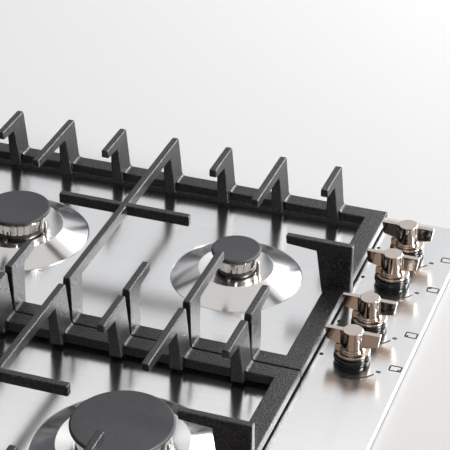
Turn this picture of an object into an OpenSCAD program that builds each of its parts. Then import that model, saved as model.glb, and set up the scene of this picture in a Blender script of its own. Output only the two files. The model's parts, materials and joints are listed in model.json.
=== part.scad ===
// Built-in gas cooktop with four burners, two cast grates and front controls.
// Origin: centre of the plate's footprint, on the worktop's top face.
// +X is the user's right, +Y is the rear, +Z is up.

/* [Top plate] */
// Width of the pressed steel plate
plate_w = 583; // [570:1:620]
// Depth of the plate, front to rear
plate_d = 530; // [524:1:560]
// Height of the plate's flat above the worktop
plate_h = 5; // [4.6:0.1:8]
// Thickness of the plate's sheet
sheet_t = 1; // [0.8:0.1:1.2]
// Radius of the plate's corners seen from above
plate_corner_r = 9; // [7:0.5:14]
// How far the rim leans out between the flat and the worktop
rim_lean = 2.4; // [2:0.1:3]
// Width of the foam seal under the rim
seal_w = 6; // [4:0.5:7]
// Distance of the seal from the plate's outer edge
seal_inset = 4.6; // [4:0.1:5]

/* [Burner bays] */
// Height of the pressed cone around each burner
cone_h = 10.5; // [9:0.1:12]
// Radius of the small burner's cone at its foot
small_cone_r = 60.3; // [58:0.1:64]
// Radius of the medium burners' cones at their foot
medium_cone_r = 66.3; // [64:0.1:69]
// Radius of the large burner's cone at its foot
large_cone_r = 77; // [75:0.5:78]
// Width of the raised disc that shows around a cap
disc_margin = 11.8; // [10:0.1:13]

/* [Burners] */
// Radius of the small burner's cap
small_cap_r = 23.3; // [22.5:0.1:25]
// Radius of the medium burners' caps
medium_cap_r = 31.5; // [30:0.1:33]
// Radius of the large burner's cap
large_cap_r = 43.5; // [41:0.1:44]
// Thickness of a cap
cap_t = 3.4; // [3:0.1:4]
// Height of a cap's underside above the plate
cap_seat_h = 27.2; // [26.5:0.1:28]
// How far a cap stands out over its crown
cap_overhang = 2.8; // [2.6:0.1:3.5]
// Height of a crown's lower edge above the plate
crown_foot_h = 13.2; // [13.1:0.1:14]
// How far a crown narrows towards its lower edge
crown_taper = 1.9; // [1:0.1:2.2]
// Height of the slotted band under a cap
port_band_h = 2.8; // [2.4:0.1:3.2]
// Width of one flame slot
port_w = 1.1; // [0.8:0.1:1.3]
// Distance between flame slots around a crown
port_pitch = 7; // [6:0.1:9]
// Wall of a burner cup
cup_wall = 2.5; // [2:0.1:3]
// Radius of an igniter or thermocouple pin
pin_r = 1.6; // [1.3:0.1:1.8]

/* [Grates] */
// Distance of the grates from the plate's side and rear edges
grate_margin = 10.4; // [9:0.1:12]
// Distance of the grates from the plate's front edge, which leaves the band for the knobs
control_band_d = 81.4; // [80:0.1:84]
// Gap between the two grates
grate_gap = 1; // [0.8:0.1:2]
// Width of the front and rear rails
end_rail_w = 19.1; // [17:0.1:21]
// Width of the side rails
side_rail_w = 17.4; // [16:0.1:19]
// Height of a rail
rail_h = 9.3; // [8:0.1:11]
// Gap between the rails and the plate
rail_gap = 3; // [2.5:0.1:4]
// Height of the pan surface above the plate
grate_h = 56.1; // [53:0.1:60]
// Thickness of a finger at the top
finger_t = 6.9; // [6:0.1:8]
// Thickness of a finger at its foot
finger_foot_t = 12.2; // [10:0.1:13]
// Distance of the first and the last finger from the grate's ends
finger_end_gap = 50.1; // [48:0.1:52]
// Reach of a short finger from the rail's outer edge
short_reach = 53.3; // [45:0.1:60]
// Free radius between the long fingers' tips and the middle of their cross
tip_ring_r = 47.2; // [46.5:0.1:49]
// Depth of a finger at its tip
tip_depth = 8.5; // [7:0.1:9.5]
// Depth of a finger where it leaves its upright
root_depth = 10.5; // [10:0.1:12]

/* [Knobs] */
// How far the middle of the row of knobs lies inside the right bays' middle line
knob_row_shift = 1.2; // [0:0.1:2]
// Distance between the two knobs of a pair, as a share of the plate's width
knob_pair_share = 0.093; // [0.09:0.001:0.096]
// Distance between the pairs' inner knobs, as a share of the plate's width
knob_group_share = 0.134; // [0.12:0.001:0.138]
// Distance of the knobs' axes from the plate's front edge
knob_inset = 49; // [47:0.1:52]
// Height of a knob's top above the plate
knob_h = 32.2; // [31:0.1:34]
// Radius of a knob's stem at the top
knob_stem_r = 9; // [8:0.1:9.4]
// Span of a knob's wings
wing_span = 50; // [46:0.5:52]
// Thickness of a knob's wings
wing_t = 4.9; // [4:0.1:5.5]
// Radius of a knob's flange
knob_flange_r = 15.8; // [15:0.1:17]
// Travel of a knob when it is pushed in
push_travel = 3; // [2.5:0.1:3.4]

/* [Under the plate] */
// Distance of the casing from the plate's side edges
tray_side_inset = 14.5; // [14:0.5:18]
// Distance of the casing from the plate's front and rear edges
tray_end_inset = 23; // [22:0.5:25]
// Depth of the casing below the worktop's top face
tray_depth = 54; // [53:0.5:60]
// Wall of the casing
tray_t = 1; // [0.8:0.1:1.2]
// Thickness of the worktop that the clamps hold
worktop_t = 30; // [28:1:31]
// Radius of the gas manifold tube
manifold_r = 9; // [8.5:0.1:9.5]
// Radius of the gas feed tubes
feed_r = 4; // [3:0.1:4.2]
// Radius of a tap's spindle
spindle_r = 4; // [3.5:0.1:4.2]
// Outer radius of the gas inlet's pipe thread
inlet_r = 10.48; // [10:0.01:11]

/* [Hidden] */
$fn = 64;

// One running clearance for turning and sliding pieces, one resting gap, one overrun for cuts
fit = 0.05;
rest_gap = 0.3;
over = 1;

// The four burners in the knobs' order: front left, rear left, rear right, front right
FRONT_LEFT = 0;
REAR_LEFT = 1;
REAR_RIGHT = 2;
FRONT_RIGHT = 3;
BURNERS = [FRONT_LEFT, REAR_LEFT, REAR_RIGHT, FRONT_RIGHT];
grate_w = plate_w / 2 - grate_margin - grate_gap / 2;
grate_l = plate_d - control_band_d - grate_margin;
grate_front_y = control_band_d - plate_d / 2;
grate_mid_y = grate_front_y + grate_l / 2;
finger_pitch = (grate_l - 2 * finger_end_gap) / 6;
bay_x = (grate_gap + grate_w) / 2;
cross_pitch = 4 * finger_pitch;
burner_draw_in = 1.4;
front_burner_y = grate_mid_y - cross_pitch / 2 + burner_draw_in;
rear_burner_y = grate_mid_y + cross_pitch / 2 - burner_draw_in;
burner_at = [[-bay_x, front_burner_y], [-bay_x, rear_burner_y],
    [bay_x, rear_burner_y], [bay_x, front_burner_y]];
cap_r = [large_cap_r, medium_cap_r, medium_cap_r, small_cap_r];
cone_r = [large_cone_r, medium_cone_r, medium_cone_r, small_cone_r];
disc_r = [for (r = cap_r) r + disc_margin];
crown_r = [for (r = cap_r) r - cap_overhang];
cup_r = [for (r = crown_r) r - crown_taper - cup_wall];
cup_bore_r = [for (r = cup_r) r - cup_wall];
disc_top = plate_h + cone_h;
cup_flange_t = crown_foot_h - cone_h - rest_gap;
cup_flange_w = cup_wall;
cup_hole_gap = 0.6;

// Plate
plate_under = plate_h - sheet_t;
rim_round_r = 1.8;
rim_round_turn = 70;
flat_w = plate_w - 2 * rim_lean;
flat_d = plate_d - 2 * rim_lean;
flat_corner_r = plate_corner_r - rim_lean;

// Knobs and their boots, as heights above the plate
knob_y = knob_inset - plate_d / 2;
knob_row_x = bay_x - knob_row_shift;
knob_pair_pitch = knob_pair_share * plate_w;
knob_group_gap = knob_group_share * plate_w;
knob_x = [knob_row_x - knob_group_gap / 2 - knob_pair_pitch, knob_row_x - knob_group_gap / 2,
    knob_row_x + knob_group_gap / 2, knob_row_x + knob_group_gap / 2 + knob_pair_pitch];
spindle_hole_r = 7.5;
boot_top_h = 9.7;
boot_proud = 0.6;
boot_base_r = knob_flange_r + boot_proud;
flange_foot_h = boot_top_h + rest_gap;
flange_t = 2;
collar_r = 10.6;
collar_h = 2;
stem_flare = 0.6;
stem_bevel = 0.8;
wing_drop = 0.8;
wing_tip_h = 12.5;
wing_root_h = 15.6;
wing_lean = 2.1;
wing_fillet_r = 3;
tab_w = 4.6;
tab_h = 3.4;
tab_from_r = 9;
spindle_flat = 1;
knob_bore_h = 18;

// Grates, as distances from a rail's outer edge and heights above the plate
finger_inset = 4.1;
upright_foot_w = 23;
upright_top_w = 29.5;
tip_lean = 1;
foot_fillet = 2.6;
fillet_top_in = 1;
front_finger_proud = 4.3;
foot_pad_r = 6;
foot_stud_r = 2.5;
foot_stud_h = 4;
rail_top_h = rail_gap + rail_h;
long_reach = bay_x - grate_gap / 2 - tip_ring_r;
long_finger_steps = [-2, 2];
short_finger_steps = [-3, -1, 1, 3];
side_finger_reach = grate_mid_y - cross_pitch / 2 - tip_ring_r - grate_front_y + front_finger_proud;

// Casing, beams and gas parts
tray_w = plate_w - 2 * tray_side_inset;
tray_d = plate_d - 2 * tray_end_inset;
casing_floor = -tray_depth + tray_t;
gas_z = -10;
beam_t = 1.5;
beam_w = 60;
beam_drop = 2.5;
beam_top = gas_z - feed_r - beam_drop;
beam_front_y = grate_front_y + end_rail_w + side_rail_w;
beam_rear_y = tray_d / 2 - tray_t;
beam_foot_l = 14;
arm_r = 5.5;
arm_l = 12;
channel_r = 2.5;
cavity_rise = 0.6;
cup_floor_t = arm_r + (gas_z - beam_top) + cavity_rise;
spigot_wall = 2;
jet_hole_r = 3;
jet_thread_l = 5;
jet_hex_r = 5;
jet_hex_h = 6;
jet_bore_r = 0.6;
screw_r = 2;
screw_hole_r = 2.1;
screw_head_r = 3.6;
screw_head_h = 2.2;
cup_screw_l = 6;
cup_screw_share = 0.68;
saddle_t = 2.5;
manifold_wall = 1.5;
manifold_z = casing_floor + saddle_t + manifold_r;
manifold_end_l = 18;
manifold_left_x = knob_x[0] - manifold_end_l;
inlet_share = 0.57;
manifold_right_x = knob_x[3] + inlet_share * (tray_w / 2 - knob_x[3]);
inlet_body_l = 42;
inlet_proud = 20;
inlet_thread_l = 16;
inlet_relief_l = 2;
inlet_relief = 0.6;
inlet_shoulder = 0.42;
inlet_body_r = inlet_r + inlet_shoulder;
manifold_rear_y = tray_d / 2 - inlet_body_l;
tap_seat_z = manifold_z + manifold_r;
tap_flange_t = 5;
tap_body_r = 12;
tap_top = -4;
bonnet_t = 3;
bonnet_w = 26;
bonnet_d = 30;
tap_collar_r = 7;
tap_collar_top = 3.2;
spigot_r = 4;
spigot_l = 3;
saddle_w = 15;
saddle_l = 36;
saddle_screw_y = 14;
spindle_foot_z = -13;
push_pin_l = 7;
bore_end_gap = 2;
tap_bore_bottom = spindle_foot_z - push_pin_l - push_travel - bore_end_gap;
outlet_l = 19;
bracket_w = 14;
bracket_leg = 13;
bracket_t = 1.2;
bracket_shares = [-0.36, 0, 0.36];
bracket_x = [for (share = bracket_shares) share * tray_w];
clamp_shares = [-0.29, 0.31];
clamp_y = [for (share = clamp_shares) share * tray_d];
clamp_w = 20;
clamp_t = 1.5;
clamp_reach = 18;
clamp_screw_drop = 9;

// Electrical pieces
module_size = [70, 42, 26];
module_from_walls = [77, 42];
module_at = [module_from_walls[0] - tray_w / 2, module_from_walls[1] - tray_d / 2];
terminal_size = [46, 30, 24];
terminal_from_wall = 35;
terminal_x = terminal_from_wall - tray_w / 2;
gland_r = 6;
gland_l = 8;
switch_size = [16, 9, 4];
igniter_turn = 180;
thermocouple_turn = 262;
pin_clear = 0.4;
pin_foot_gap = 1.5;
pin_foot_z = gas_z + arm_r + pin_foot_gap;
electrode_r = 0.7;
thermocouple_top_h = 22.5;
ceramic_top_h = 13.4;
electrode_top_h = 15.5;
pin_nut_r = 2.7;

// Plan shapes
module round_box(w, d, r) {
    square([w - 2 * r, d], center = true);
    square([w, d - 2 * r], center = true);
    for (x = [-1, 1], y = [-1, 1]) {
        translate([x * (w / 2 - r), y * (d / 2 - r)]) circle(r = r);
    }
}

module centred_box(w, d, h) {
    translate([-w / 2, -d / 2, 0]) cube([w, d, h]);
}

module at_burner(i) {
    translate([burner_at[i][0], burner_at[i][1], 0]) children();
}

module at_knob(i) {
    translate([knob_x[i], knob_y, 0]) children();
}

// A profile drawn outwards from the flat's edge, carried round a rounded rectangle
module carried_round(w, d, r) {
    for (turn = [0, 180]) {
        rotate([0, 0, turn]) {
            translate([w / 2, d / 2 - r, 0]) rotate([90, 0, 0]) linear_extrude(d - 2 * r) children();
            translate([-(w / 2 - r), d / 2, 0]) rotate([90, 0, 90]) linear_extrude(w - 2 * r) children();
            translate([w / 2 - r, d / 2 - r, 0]) rotate_extrude(angle = 90) translate([r, 0]) children();
            translate([-(w / 2 - r), d / 2 - r, 0]) {
                rotate([0, 0, 90]) rotate_extrude(angle = 90) translate([r, 0]) children();
            }
        }
    }
}

// The rim: an arc down from the flat, then a lean out to the worktop
module rim_profile() {
    centre_h = plate_h - rim_round_r;
    turns = [for (a = [90:-10:90 - rim_round_turn]) a];
    inner_r = rim_round_r - sheet_t;
    outer = [for (a = turns) [rim_round_r * cos(a), centre_h + rim_round_r * sin(a)]];
    inner = [for (a = turns) [inner_r * cos(a), centre_h + inner_r * sin(a)]];
    polygon(concat(outer, [[rim_lean, 0], [rim_lean - sheet_t, 0]],
        [for (i = [len(inner) - 1:-1:0]) inner[i]]));
}

// Sheet that rises from the plate to a raised disc with a hole in it
module pressed_rise(foot_r, top_r, hole_r) {
    slope = atan2(cone_h, foot_r - top_r);
    fold = sheet_t * tan(slope / 2);
    rotate_extrude($fn = 96) polygon([[hole_r, plate_h + cone_h], [top_r, plate_h + cone_h],
        [foot_r, plate_h], [foot_r, plate_under], [foot_r - fold, plate_under],
        [top_r - fold, plate_under + cone_h], [hole_r, plate_under + cone_h]]);
}

module top_plate() {
    color("#d4d5d6") {
        translate([0, 0, plate_under]) linear_extrude(sheet_t) difference() {
            round_box(flat_w, flat_d, flat_corner_r);
            for (i = BURNERS) translate(burner_at[i]) circle(r = cone_r[i], $fn = 96);
            for (i = BURNERS) translate([knob_x[i], knob_y]) circle(r = spindle_hole_r);
        }
        carried_round(flat_w, flat_d, flat_corner_r) rim_profile();
        for (i = BURNERS) {
            difference() {
                at_burner(i) pressed_rise(cone_r[i], disc_r[i], cup_r[i] + cup_hole_gap);
                at_burner(i) for (turn = [igniter_turn, thermocouple_turn]) pin_place(i, turn) {
                    translate([0, 0, plate_under]) {
                        cylinder(r = pin_r + pin_clear, h = cone_h + over + sheet_t);
                    }
                }
            }
        }
    }
}

module rim_seal() {
    color("#2c2c2e") linear_extrude(plate_under) {
        difference() {
            square([plate_w - 2 * seal_inset, plate_d - 2 * seal_inset], center = true);
            square([plate_w - 2 * (seal_inset + seal_w), plate_d - 2 * (seal_inset + seal_w)], center = true);
        }
    }
}

// Casing under the plate, with holes for the bracket screws, clamps, gas inlet and mains gland
bracket_screw_z = plate_under - bracket_leg / 2 - bracket_t;
clamp_screw_z = -worktop_t - clamp_screw_drop;

module bracket_screw_places() {
    for (x = bracket_x, side = [-1, 1]) {
        translate([x, side * tray_d / 2, bracket_screw_z]) rotate([-side * 90, 0, 0]) children();
    }
}

module clamp_screw_places() {
    for (y = clamp_y, side = [-1, 1]) {
        translate([side * tray_w / 2, y, clamp_screw_z]) rotate([0, side * 90, 0]) children();
    }
}

module base_casing() {
    inside = [tray_w - 2 * tray_t, tray_d - 2 * tray_t, tray_depth + plate_h];
    color("#b9bcc0") difference() {
        translate([0, 0, -tray_depth]) centred_box(tray_w, tray_d, tray_depth + plate_under);
        translate([0, 0, casing_floor]) centred_box(inside[0], inside[1], inside[2]);
        bracket_screw_places() cylinder(r = screw_hole_r, h = 2 * over + 2 * tray_t, center = true);
        clamp_screw_places() cylinder(r = screw_hole_r, h = 2 * over + 2 * tray_t, center = true);
        translate([manifold_right_x, tray_d / 2, manifold_z]) rotate([90, 0, 0]) {
            cylinder(r = inlet_body_r + rest_gap, h = 2 * over + 2 * tray_t, center = true);
        }
        translate([terminal_x, tray_d / 2, casing_floor + terminal_size[2] / 2]) rotate([90, 0, 0]) {
            cylinder(r = gland_r + rest_gap, h = 2 * over + 2 * tray_t, center = true);
        }
    }
}

// Angles spot-welded under the plate, which the casing's walls are screwed to
module casing_brackets() {
    wall_y = tray_d / 2 - tray_t;
    color("#9da0a4") difference() {
        for (x = bracket_x, side = [0, 180]) rotate([0, 0, side]) {
            translate([x - bracket_w / 2, wall_y - bracket_leg, plate_under - bracket_t]) {
                cube([bracket_w, bracket_leg, bracket_t]);
            }
            translate([x - bracket_w / 2, wall_y - bracket_t, plate_under - bracket_t - bracket_leg]) {
                cube([bracket_w, bracket_t, bracket_leg + bracket_t]);
            }
        }
        bracket_screw_places() {
            cylinder(r = screw_hole_r, h = 2 * (tray_t + bracket_t + over), center = true);
        }
    }
}

// A screw that stands on its head's underside at height zero and points down
module screw_down(shank_l) {
    translate([0, 0, -shank_l]) cylinder(r = screw_r, h = shank_l);
    difference() {
        cylinder(r = screw_head_r, h = screw_head_h);
        translate([0, 0, screw_head_h / 2]) cylinder(r = screw_r, h = screw_head_h, $fn = 6);
    }
}

module casing_screws() {
    color("#c8cacc") bracket_screw_places() screw_down(tray_t + bracket_t + screw_r);
}

module worktop_clamps() {
    leg_l = tray_depth - worktop_t - tray_t;
    color("#9da0a4") difference() {
        for (y = clamp_y, side = [0, 180]) rotate([0, 0, side]) {
            translate([tray_w / 2, (side == 0 ? y : -y) - clamp_w / 2, -worktop_t - leg_l]) {
                cube([clamp_t, clamp_w, leg_l]);
            }
            translate([tray_w / 2, (side == 0 ? y : -y) - clamp_w / 2, -worktop_t - clamp_t]) {
                cube([clamp_reach, clamp_w, clamp_t]);
            }
        }
        clamp_screw_places() cylinder(r = screw_hole_r, h = 2 * (clamp_t + over), center = true);
    }
}

module clamp_screws() {
    color("#c8cacc") clamp_screw_places() {
        translate([0, 0, clamp_t]) screw_down(tray_t + clamp_t + screw_r);
    }
}

// Beams under the burners, one for each row of bays
module cup_screw_places(i) {
    for (side = [-1, 1]) translate([0, side * cup_r[i] * cup_screw_share, beam_top - beam_t]) children();
}

module burner_beams() {
    leg_h = beam_top - casing_floor;
    color("#a9acb0") difference() {
        for (side = [-1, 1]) translate([side * bay_x - beam_w / 2, 0, 0]) {
            translate([0, beam_front_y, beam_top - beam_t]) {
                cube([beam_w, beam_rear_y - beam_front_y, beam_t]);
            }
            translate([0, beam_front_y, casing_floor]) cube([beam_w, beam_t, leg_h]);
            translate([0, beam_rear_y - beam_t, casing_floor]) cube([beam_w, beam_t, leg_h]);
            translate([0, beam_front_y, casing_floor]) cube([beam_w, beam_foot_l, beam_t]);
            translate([0, beam_rear_y - beam_foot_l, casing_floor]) cube([beam_w, beam_foot_l, beam_t]);
        }
        for (i = BURNERS) at_burner(i) cup_screw_places(i) {
            translate([0, 0, -over]) cylinder(r = screw_hole_r, h = beam_t + 2 * over);
        }
    }
}

module cup_screws() {
    color("#c8cacc") for (i = BURNERS) at_burner(i) cup_screw_places(i) {
        mirror([0, 0, 1]) screw_down(beam_t + cup_screw_l);
    }
}

// Side on which each cup takes its gas, as a turn about the burner's axis
arm_turn = [-90, 0, 180, -90];

module burner_cup(i) {
    cavity_z = beam_top + cup_floor_t;
    color("#5a5b5e") at_burner(i) difference() {
        union() {
            translate([0, 0, beam_top]) cylinder(r = cup_r[i], h = disc_top + cup_flange_t - beam_top);
            translate([0, 0, disc_top]) cylinder(r = cup_r[i] + cup_flange_w, h = cup_flange_t);
            translate([0, 0, gas_z]) rotate([0, 90, arm_turn[i]]) {
                cylinder(r = arm_r, h = cup_r[i] + arm_l);
            }
        }
        translate([0, 0, cavity_z]) {
            cylinder(r = cup_bore_r[i], h = disc_top + cup_flange_t - cavity_z + over);
        }
        translate([0, 0, gas_z]) cylinder(r = jet_hole_r, h = cavity_z - gas_z + over);
        translate([0, 0, gas_z]) rotate([0, 90, arm_turn[i]]) {
            cylinder(r = channel_r, h = cup_r[i] + arm_l + over);
        }
        cup_screw_places(i) translate([0, 0, beam_t]) cylinder(r = screw_hole_r, h = cup_screw_l + over);
    }
}

module injectors() {
    seat_z = beam_top + cup_floor_t;
    color("#c9a55a") for (i = BURNERS) at_burner(i) difference() {
        union() {
            translate([0, 0, seat_z - jet_thread_l]) cylinder(r = jet_hole_r - fit, h = jet_thread_l);
            translate([0, 0, seat_z]) cylinder(r = jet_hex_r, h = jet_hex_h, $fn = 6);
        }
        translate([0, 0, seat_z - jet_thread_l - over]) {
            cylinder(r = jet_bore_r, h = jet_thread_l + jet_hex_h + 2 * over);
        }
    }
}

// Gas manifold: a tube under the taps that turns to the rear beside the right bays
module tube_path(points, r) {
    for (n = [0:len(points) - 2]) {
        step = points[n + 1] - points[n];
        along = norm(step);
        translate(points[n]) rotate([0, acos(step[2] / along), atan2(step[1], step[0])]) {
            cylinder(r = r, h = along);
        }
    }
    for (n = [1:1:len(points) - 2]) translate(points[n]) sphere(r = r);
}

manifold_path = [[manifold_left_x, knob_y, manifold_z], [manifold_right_x, knob_y, manifold_z],
    [manifold_right_x, manifold_rear_y, manifold_z]];

module gas_manifold() {
    color("#b4b7ba") difference() {
        tube_path(manifold_path, manifold_r);
        translate([manifold_wall, 0, 0]) {
            tube_path([manifold_path[0], manifold_path[1] - [manifold_wall, 0, 0]],
                manifold_r - manifold_wall);
        }
        tube_path([manifold_path[1], manifold_path[2] + [0, over, 0]], manifold_r - manifold_wall);
        for (i = BURNERS) at_knob(i) translate([0, 0, manifold_z]) {
            cylinder(r = spigot_r + fit, h = manifold_r + over);
        }
    }
}

module gas_inlet_elbow() {
    collar_l = 12;
    nut_l = 9;
    nut_r = (manifold_z - casing_floor - rest_gap) / cos(30);
    stub_end_y = tray_d / 2 + inlet_proud;
    thread_y = stub_end_y - inlet_thread_l;
    relief_y = thread_y - inlet_relief_l;
    color("#c9a55a") translate([manifold_right_x, 0, manifold_z]) rotate([-90, 0, 0]) difference() {
        union() {
            translate([0, 0, manifold_rear_y - collar_l]) {
                cylinder(r = manifold_r + manifold_wall + fit, h = collar_l + over);
            }
            translate([0, 0, manifold_rear_y]) cylinder(r = inlet_body_r, h = relief_y - manifold_rear_y);
            translate([0, 0, relief_y]) cylinder(r = inlet_r - inlet_relief, h = inlet_relief_l);
            translate([0, 0, thread_y]) cylinder(r = inlet_r, h = inlet_thread_l);
            translate([0, 0, tray_d / 2 - tray_t - nut_l]) cylinder(r = nut_r, h = nut_l, $fn = 6);
        }
        translate([0, 0, manifold_rear_y - collar_l - over]) {
            cylinder(r = manifold_r + fit, h = collar_l + over);
        }
        translate([0, 0, manifold_rear_y - collar_l]) {
            cylinder(r = manifold_r - manifold_wall, h = stub_end_y - manifold_rear_y + collar_l + over);
        }
    }
}

module manifold_saddles() {
    color("#9da0a4") for (i = BURNERS) at_knob(i) difference() {
        translate([0, 0, casing_floor]) centred_box(saddle_w, saddle_l, tap_seat_z - casing_floor);
        translate([0, 0, manifold_z]) rotate([0, 90, 0]) {
            cylinder(r = manifold_r + fit, h = saddle_l, center = true);
        }
        translate([0, 0, manifold_z]) centred_box(saddle_l, 2 * (manifold_r + fit), saddle_l);
        for (side = [-1, 1]) translate([0, side * saddle_screw_y, casing_floor - over]) {
            cylinder(r = screw_hole_r, h = tap_seat_z - casing_floor + 2 * over);
            cylinder(r = screw_head_r + fit, h = screw_head_h + over);
        }
    }
}

module saddle_screws() {
    color("#c8cacc") for (i = BURNERS, side = [-1, 1]) at_knob(i) {
        translate([0, side * saddle_screw_y, casing_floor + screw_head_h]) {
            mirror([0, 0, 1]) screw_down(tap_seat_z - casing_floor - screw_head_h + tap_flange_t - over);
        }
    }
}

// Tap: flange on the manifold, cone body, outlet arm, bonnet and collar round the spindle
module tap(i) {
    color("#c9a55a") at_knob(i) difference() {
        union() {
            translate([0, 0, tap_seat_z]) centred_box(saddle_w, saddle_l, tap_flange_t);
            translate([0, 0, tap_seat_z - spigot_l]) cylinder(r = spigot_r, h = spigot_l + over);
            translate([0, 0, tap_seat_z]) cylinder(r = tap_body_r, h = tap_top - tap_seat_z);
            translate([0, 0, tap_top]) centred_box(bonnet_w, bonnet_d, bonnet_t);
            translate([0, 0, tap_top]) cylinder(r = tap_collar_r, h = tap_collar_top - tap_top);
            translate([0, 0, gas_z]) rotate([-90, 0, 0]) cylinder(r = arm_r, h = outlet_l);
        }
        translate([0, 0, tap_bore_bottom]) {
            cylinder(r = spindle_r + fit, h = tap_collar_top - tap_bore_bottom + over);
        }
        translate([0, outlet_l - arm_l, gas_z]) rotate([-90, 0, 0]) {
            cylinder(r = channel_r, h = arm_l + over);
        }
        for (side = [-1, 1]) translate([0, side * saddle_screw_y, tap_seat_z - over]) {
            cylinder(r = screw_hole_r, h = tap_flange_t);
        }
    }
}

module d_shape(r, flat, h) {
    intersection() {
        cylinder(r = r, h = h);
        translate([-r, -r, 0]) cube([2 * r, 2 * r - flat, h]);
    }
}

module spindle(i) {
    flat_from = plate_h + flange_foot_h;
    bore_top = flat_from + knob_bore_h;
    color("#b8babd") at_knob(i) {
        translate([0, 0, spindle_foot_z]) cylinder(r = spindle_r, h = flat_from - spindle_foot_z);
        translate([0, 0, flat_from]) d_shape(spindle_r, spindle_flat, bore_top - flat_from - rest_gap);
    }
}

module push_pin(i) {
    color("#c9a55a") at_knob(i) {
        translate([0, 0, spindle_foot_z - push_pin_l]) cylinder(r = spindle_r, h = push_pin_l);
    }
}

// Knob: flange with pointer tab, collar, tapered stem and two wings along the depth
module wing_plan() {
    root_r = knob_stem_r + stem_flare / 2;
    centre_x = wing_t / 2 + wing_fillet_r;
    centre_y = sqrt(pow(root_r + wing_fillet_r, 2) - pow(centre_x, 2));
    square([wing_t, wing_span], center = true);
    for (x = [-1, 1], y = [-1, 1]) difference() {
        polygon([[0, 0], [0, y * centre_y], [x * centre_x, y * centre_y]]);
        translate([x * centre_x, y * centre_y]) circle(r = wing_fillet_r);
    }
}

module wing_side() {
    top = plate_h + knob_h - wing_drop;
    half = wing_span / 2;
    polygon([[-half, top], [half, top], [half - wing_lean, top - wing_tip_h],
        [knob_stem_r, top - wing_root_h], [-knob_stem_r, top - wing_root_h],
        [wing_lean - half, top - wing_tip_h]]);
}

module knob(i) {
    foot_z = plate_h + flange_foot_h;
    flange_top = foot_z + flange_t;
    top = plate_h + knob_h;
    color("#cdb9a8") at_knob(i) difference() {
        union() {
            translate([0, 0, foot_z]) cylinder(r = knob_flange_r, h = flange_t);
            translate([0, 0, flange_top]) cylinder(r = collar_r, h = collar_h);
            translate([0, 0, flange_top]) {
                cylinder(r1 = knob_stem_r + stem_flare, r2 = knob_stem_r, h = top - stem_bevel - flange_top);
            }
            translate([0, 0, top - stem_bevel]) {
                cylinder(r1 = knob_stem_r, r2 = knob_stem_r - stem_bevel, h = stem_bevel);
            }
            intersection() {
                linear_extrude(top) wing_plan();
                rotate([90, 0, 90]) linear_extrude(knob_flange_r * 2, center = true) wing_side();
            }
            intersection() {
                translate([-tab_w / 2, tab_from_r, foot_z]) {
                    cube([tab_w, knob_flange_r - tab_from_r, flange_t + tab_h]);
                }
                translate([0, 0, foot_z]) cylinder(r = knob_flange_r, h = flange_t + tab_h);
            }
        }
        translate([0, 0, foot_z]) d_shape(spindle_r + fit, spindle_flat, knob_bore_h);
    }
}

// Rubber boot between the plate and the knob's flange, with two grooves round it
module boot(i) {
    ridge_h_shares = [0.14, 0.5, 0.82];
    groove_h_shares = [0.32, 0.68];
    ridge_narrowing = 0.2;
    groove_depth = 1.3;
    edge = 0.4;
    ridges = [for (n = [0:2]) [boot_base_r - n * ridge_narrowing, ridge_h_shares[n] * boot_top_h]];
    grooves = [for (n = [0:1]) [ridges[n][0] - groove_depth, groove_h_shares[n] * boot_top_h]];
    color("#1b1b1d") at_knob(i) translate([0, 0, plate_h]) rotate_extrude() {
        polygon([[spindle_hole_r, 0], [boot_base_r - edge, 0], ridges[0], grooves[0], ridges[1],
            grooves[1], ridges[2], [ridges[2][0] - edge, boot_top_h], [spindle_hole_r, boot_top_h]]);
    }
}

// Crown: spigot in the cup, tapered ring and slotted band
module crown(i) {
    r = crown_r[i];
    foot_z = plate_h + crown_foot_h;
    band_z = plate_h + cap_seat_h - port_band_h;
    spigot_depth = 8;
    band_step = 0.5;
    bore_r = cup_bore_r[i] - rest_gap - spigot_wall;
    slots = floor(2 * PI * r / port_pitch);
    color("#c9c4bd") at_burner(i) difference() {
        union() {
            translate([0, 0, foot_z]) cylinder(r1 = r - crown_taper, r2 = r, h = band_z - foot_z);
            translate([0, 0, band_z]) cylinder(r = r - band_step, h = port_band_h);
            translate([0, 0, foot_z - spigot_depth]) {
                cylinder(r = cup_bore_r[i] - rest_gap, h = spigot_depth);
            }
        }
        translate([0, 0, foot_z - spigot_depth - over]) {
            cylinder(r = bore_r, h = plate_h + cap_seat_h - foot_z + spigot_depth + 2 * over);
        }
        for (n = [0:slots - 1]) rotate([0, 0, n * 360 / slots]) {
            translate([bore_r - over, -port_w / 2, band_z + band_step]) {
                cube([r - bore_r + 2 * over, port_w, port_band_h]);
            }
        }
    }
}

// Cap: a plain disc with a bevelled edge and a locating ring that hangs in the crown
module cap(i) {
    edge_bevel = 0.6;
    ring_h = 2;
    ring_wall = 2;
    ring_r = cup_bore_r[i] - spigot_wall - 2 * rest_gap;
    seat_z = plate_h + cap_seat_h;
    color("#55575c") at_burner(i) {
        translate([0, 0, seat_z]) cylinder(r = cap_r[i], h = cap_t - edge_bevel, $fn = 96);
        translate([0, 0, seat_z + cap_t - edge_bevel]) {
            cylinder(r1 = cap_r[i], r2 = cap_r[i] - edge_bevel, h = edge_bevel, $fn = 96);
        }
        translate([0, 0, seat_z - ring_h]) difference() {
            cylinder(r = ring_r, h = ring_h + edge_bevel);
            translate([0, 0, -over]) cylinder(r = ring_r - ring_wall, h = ring_h + over);
        }
    }
}

// Pins beside each crown, carried by the plate's raised disc
module pin_place(i, turn) {
    rotate([0, 0, turn]) translate([crown_r[i] + pin_clear + pin_r, 0, 0]) children();
}

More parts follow.
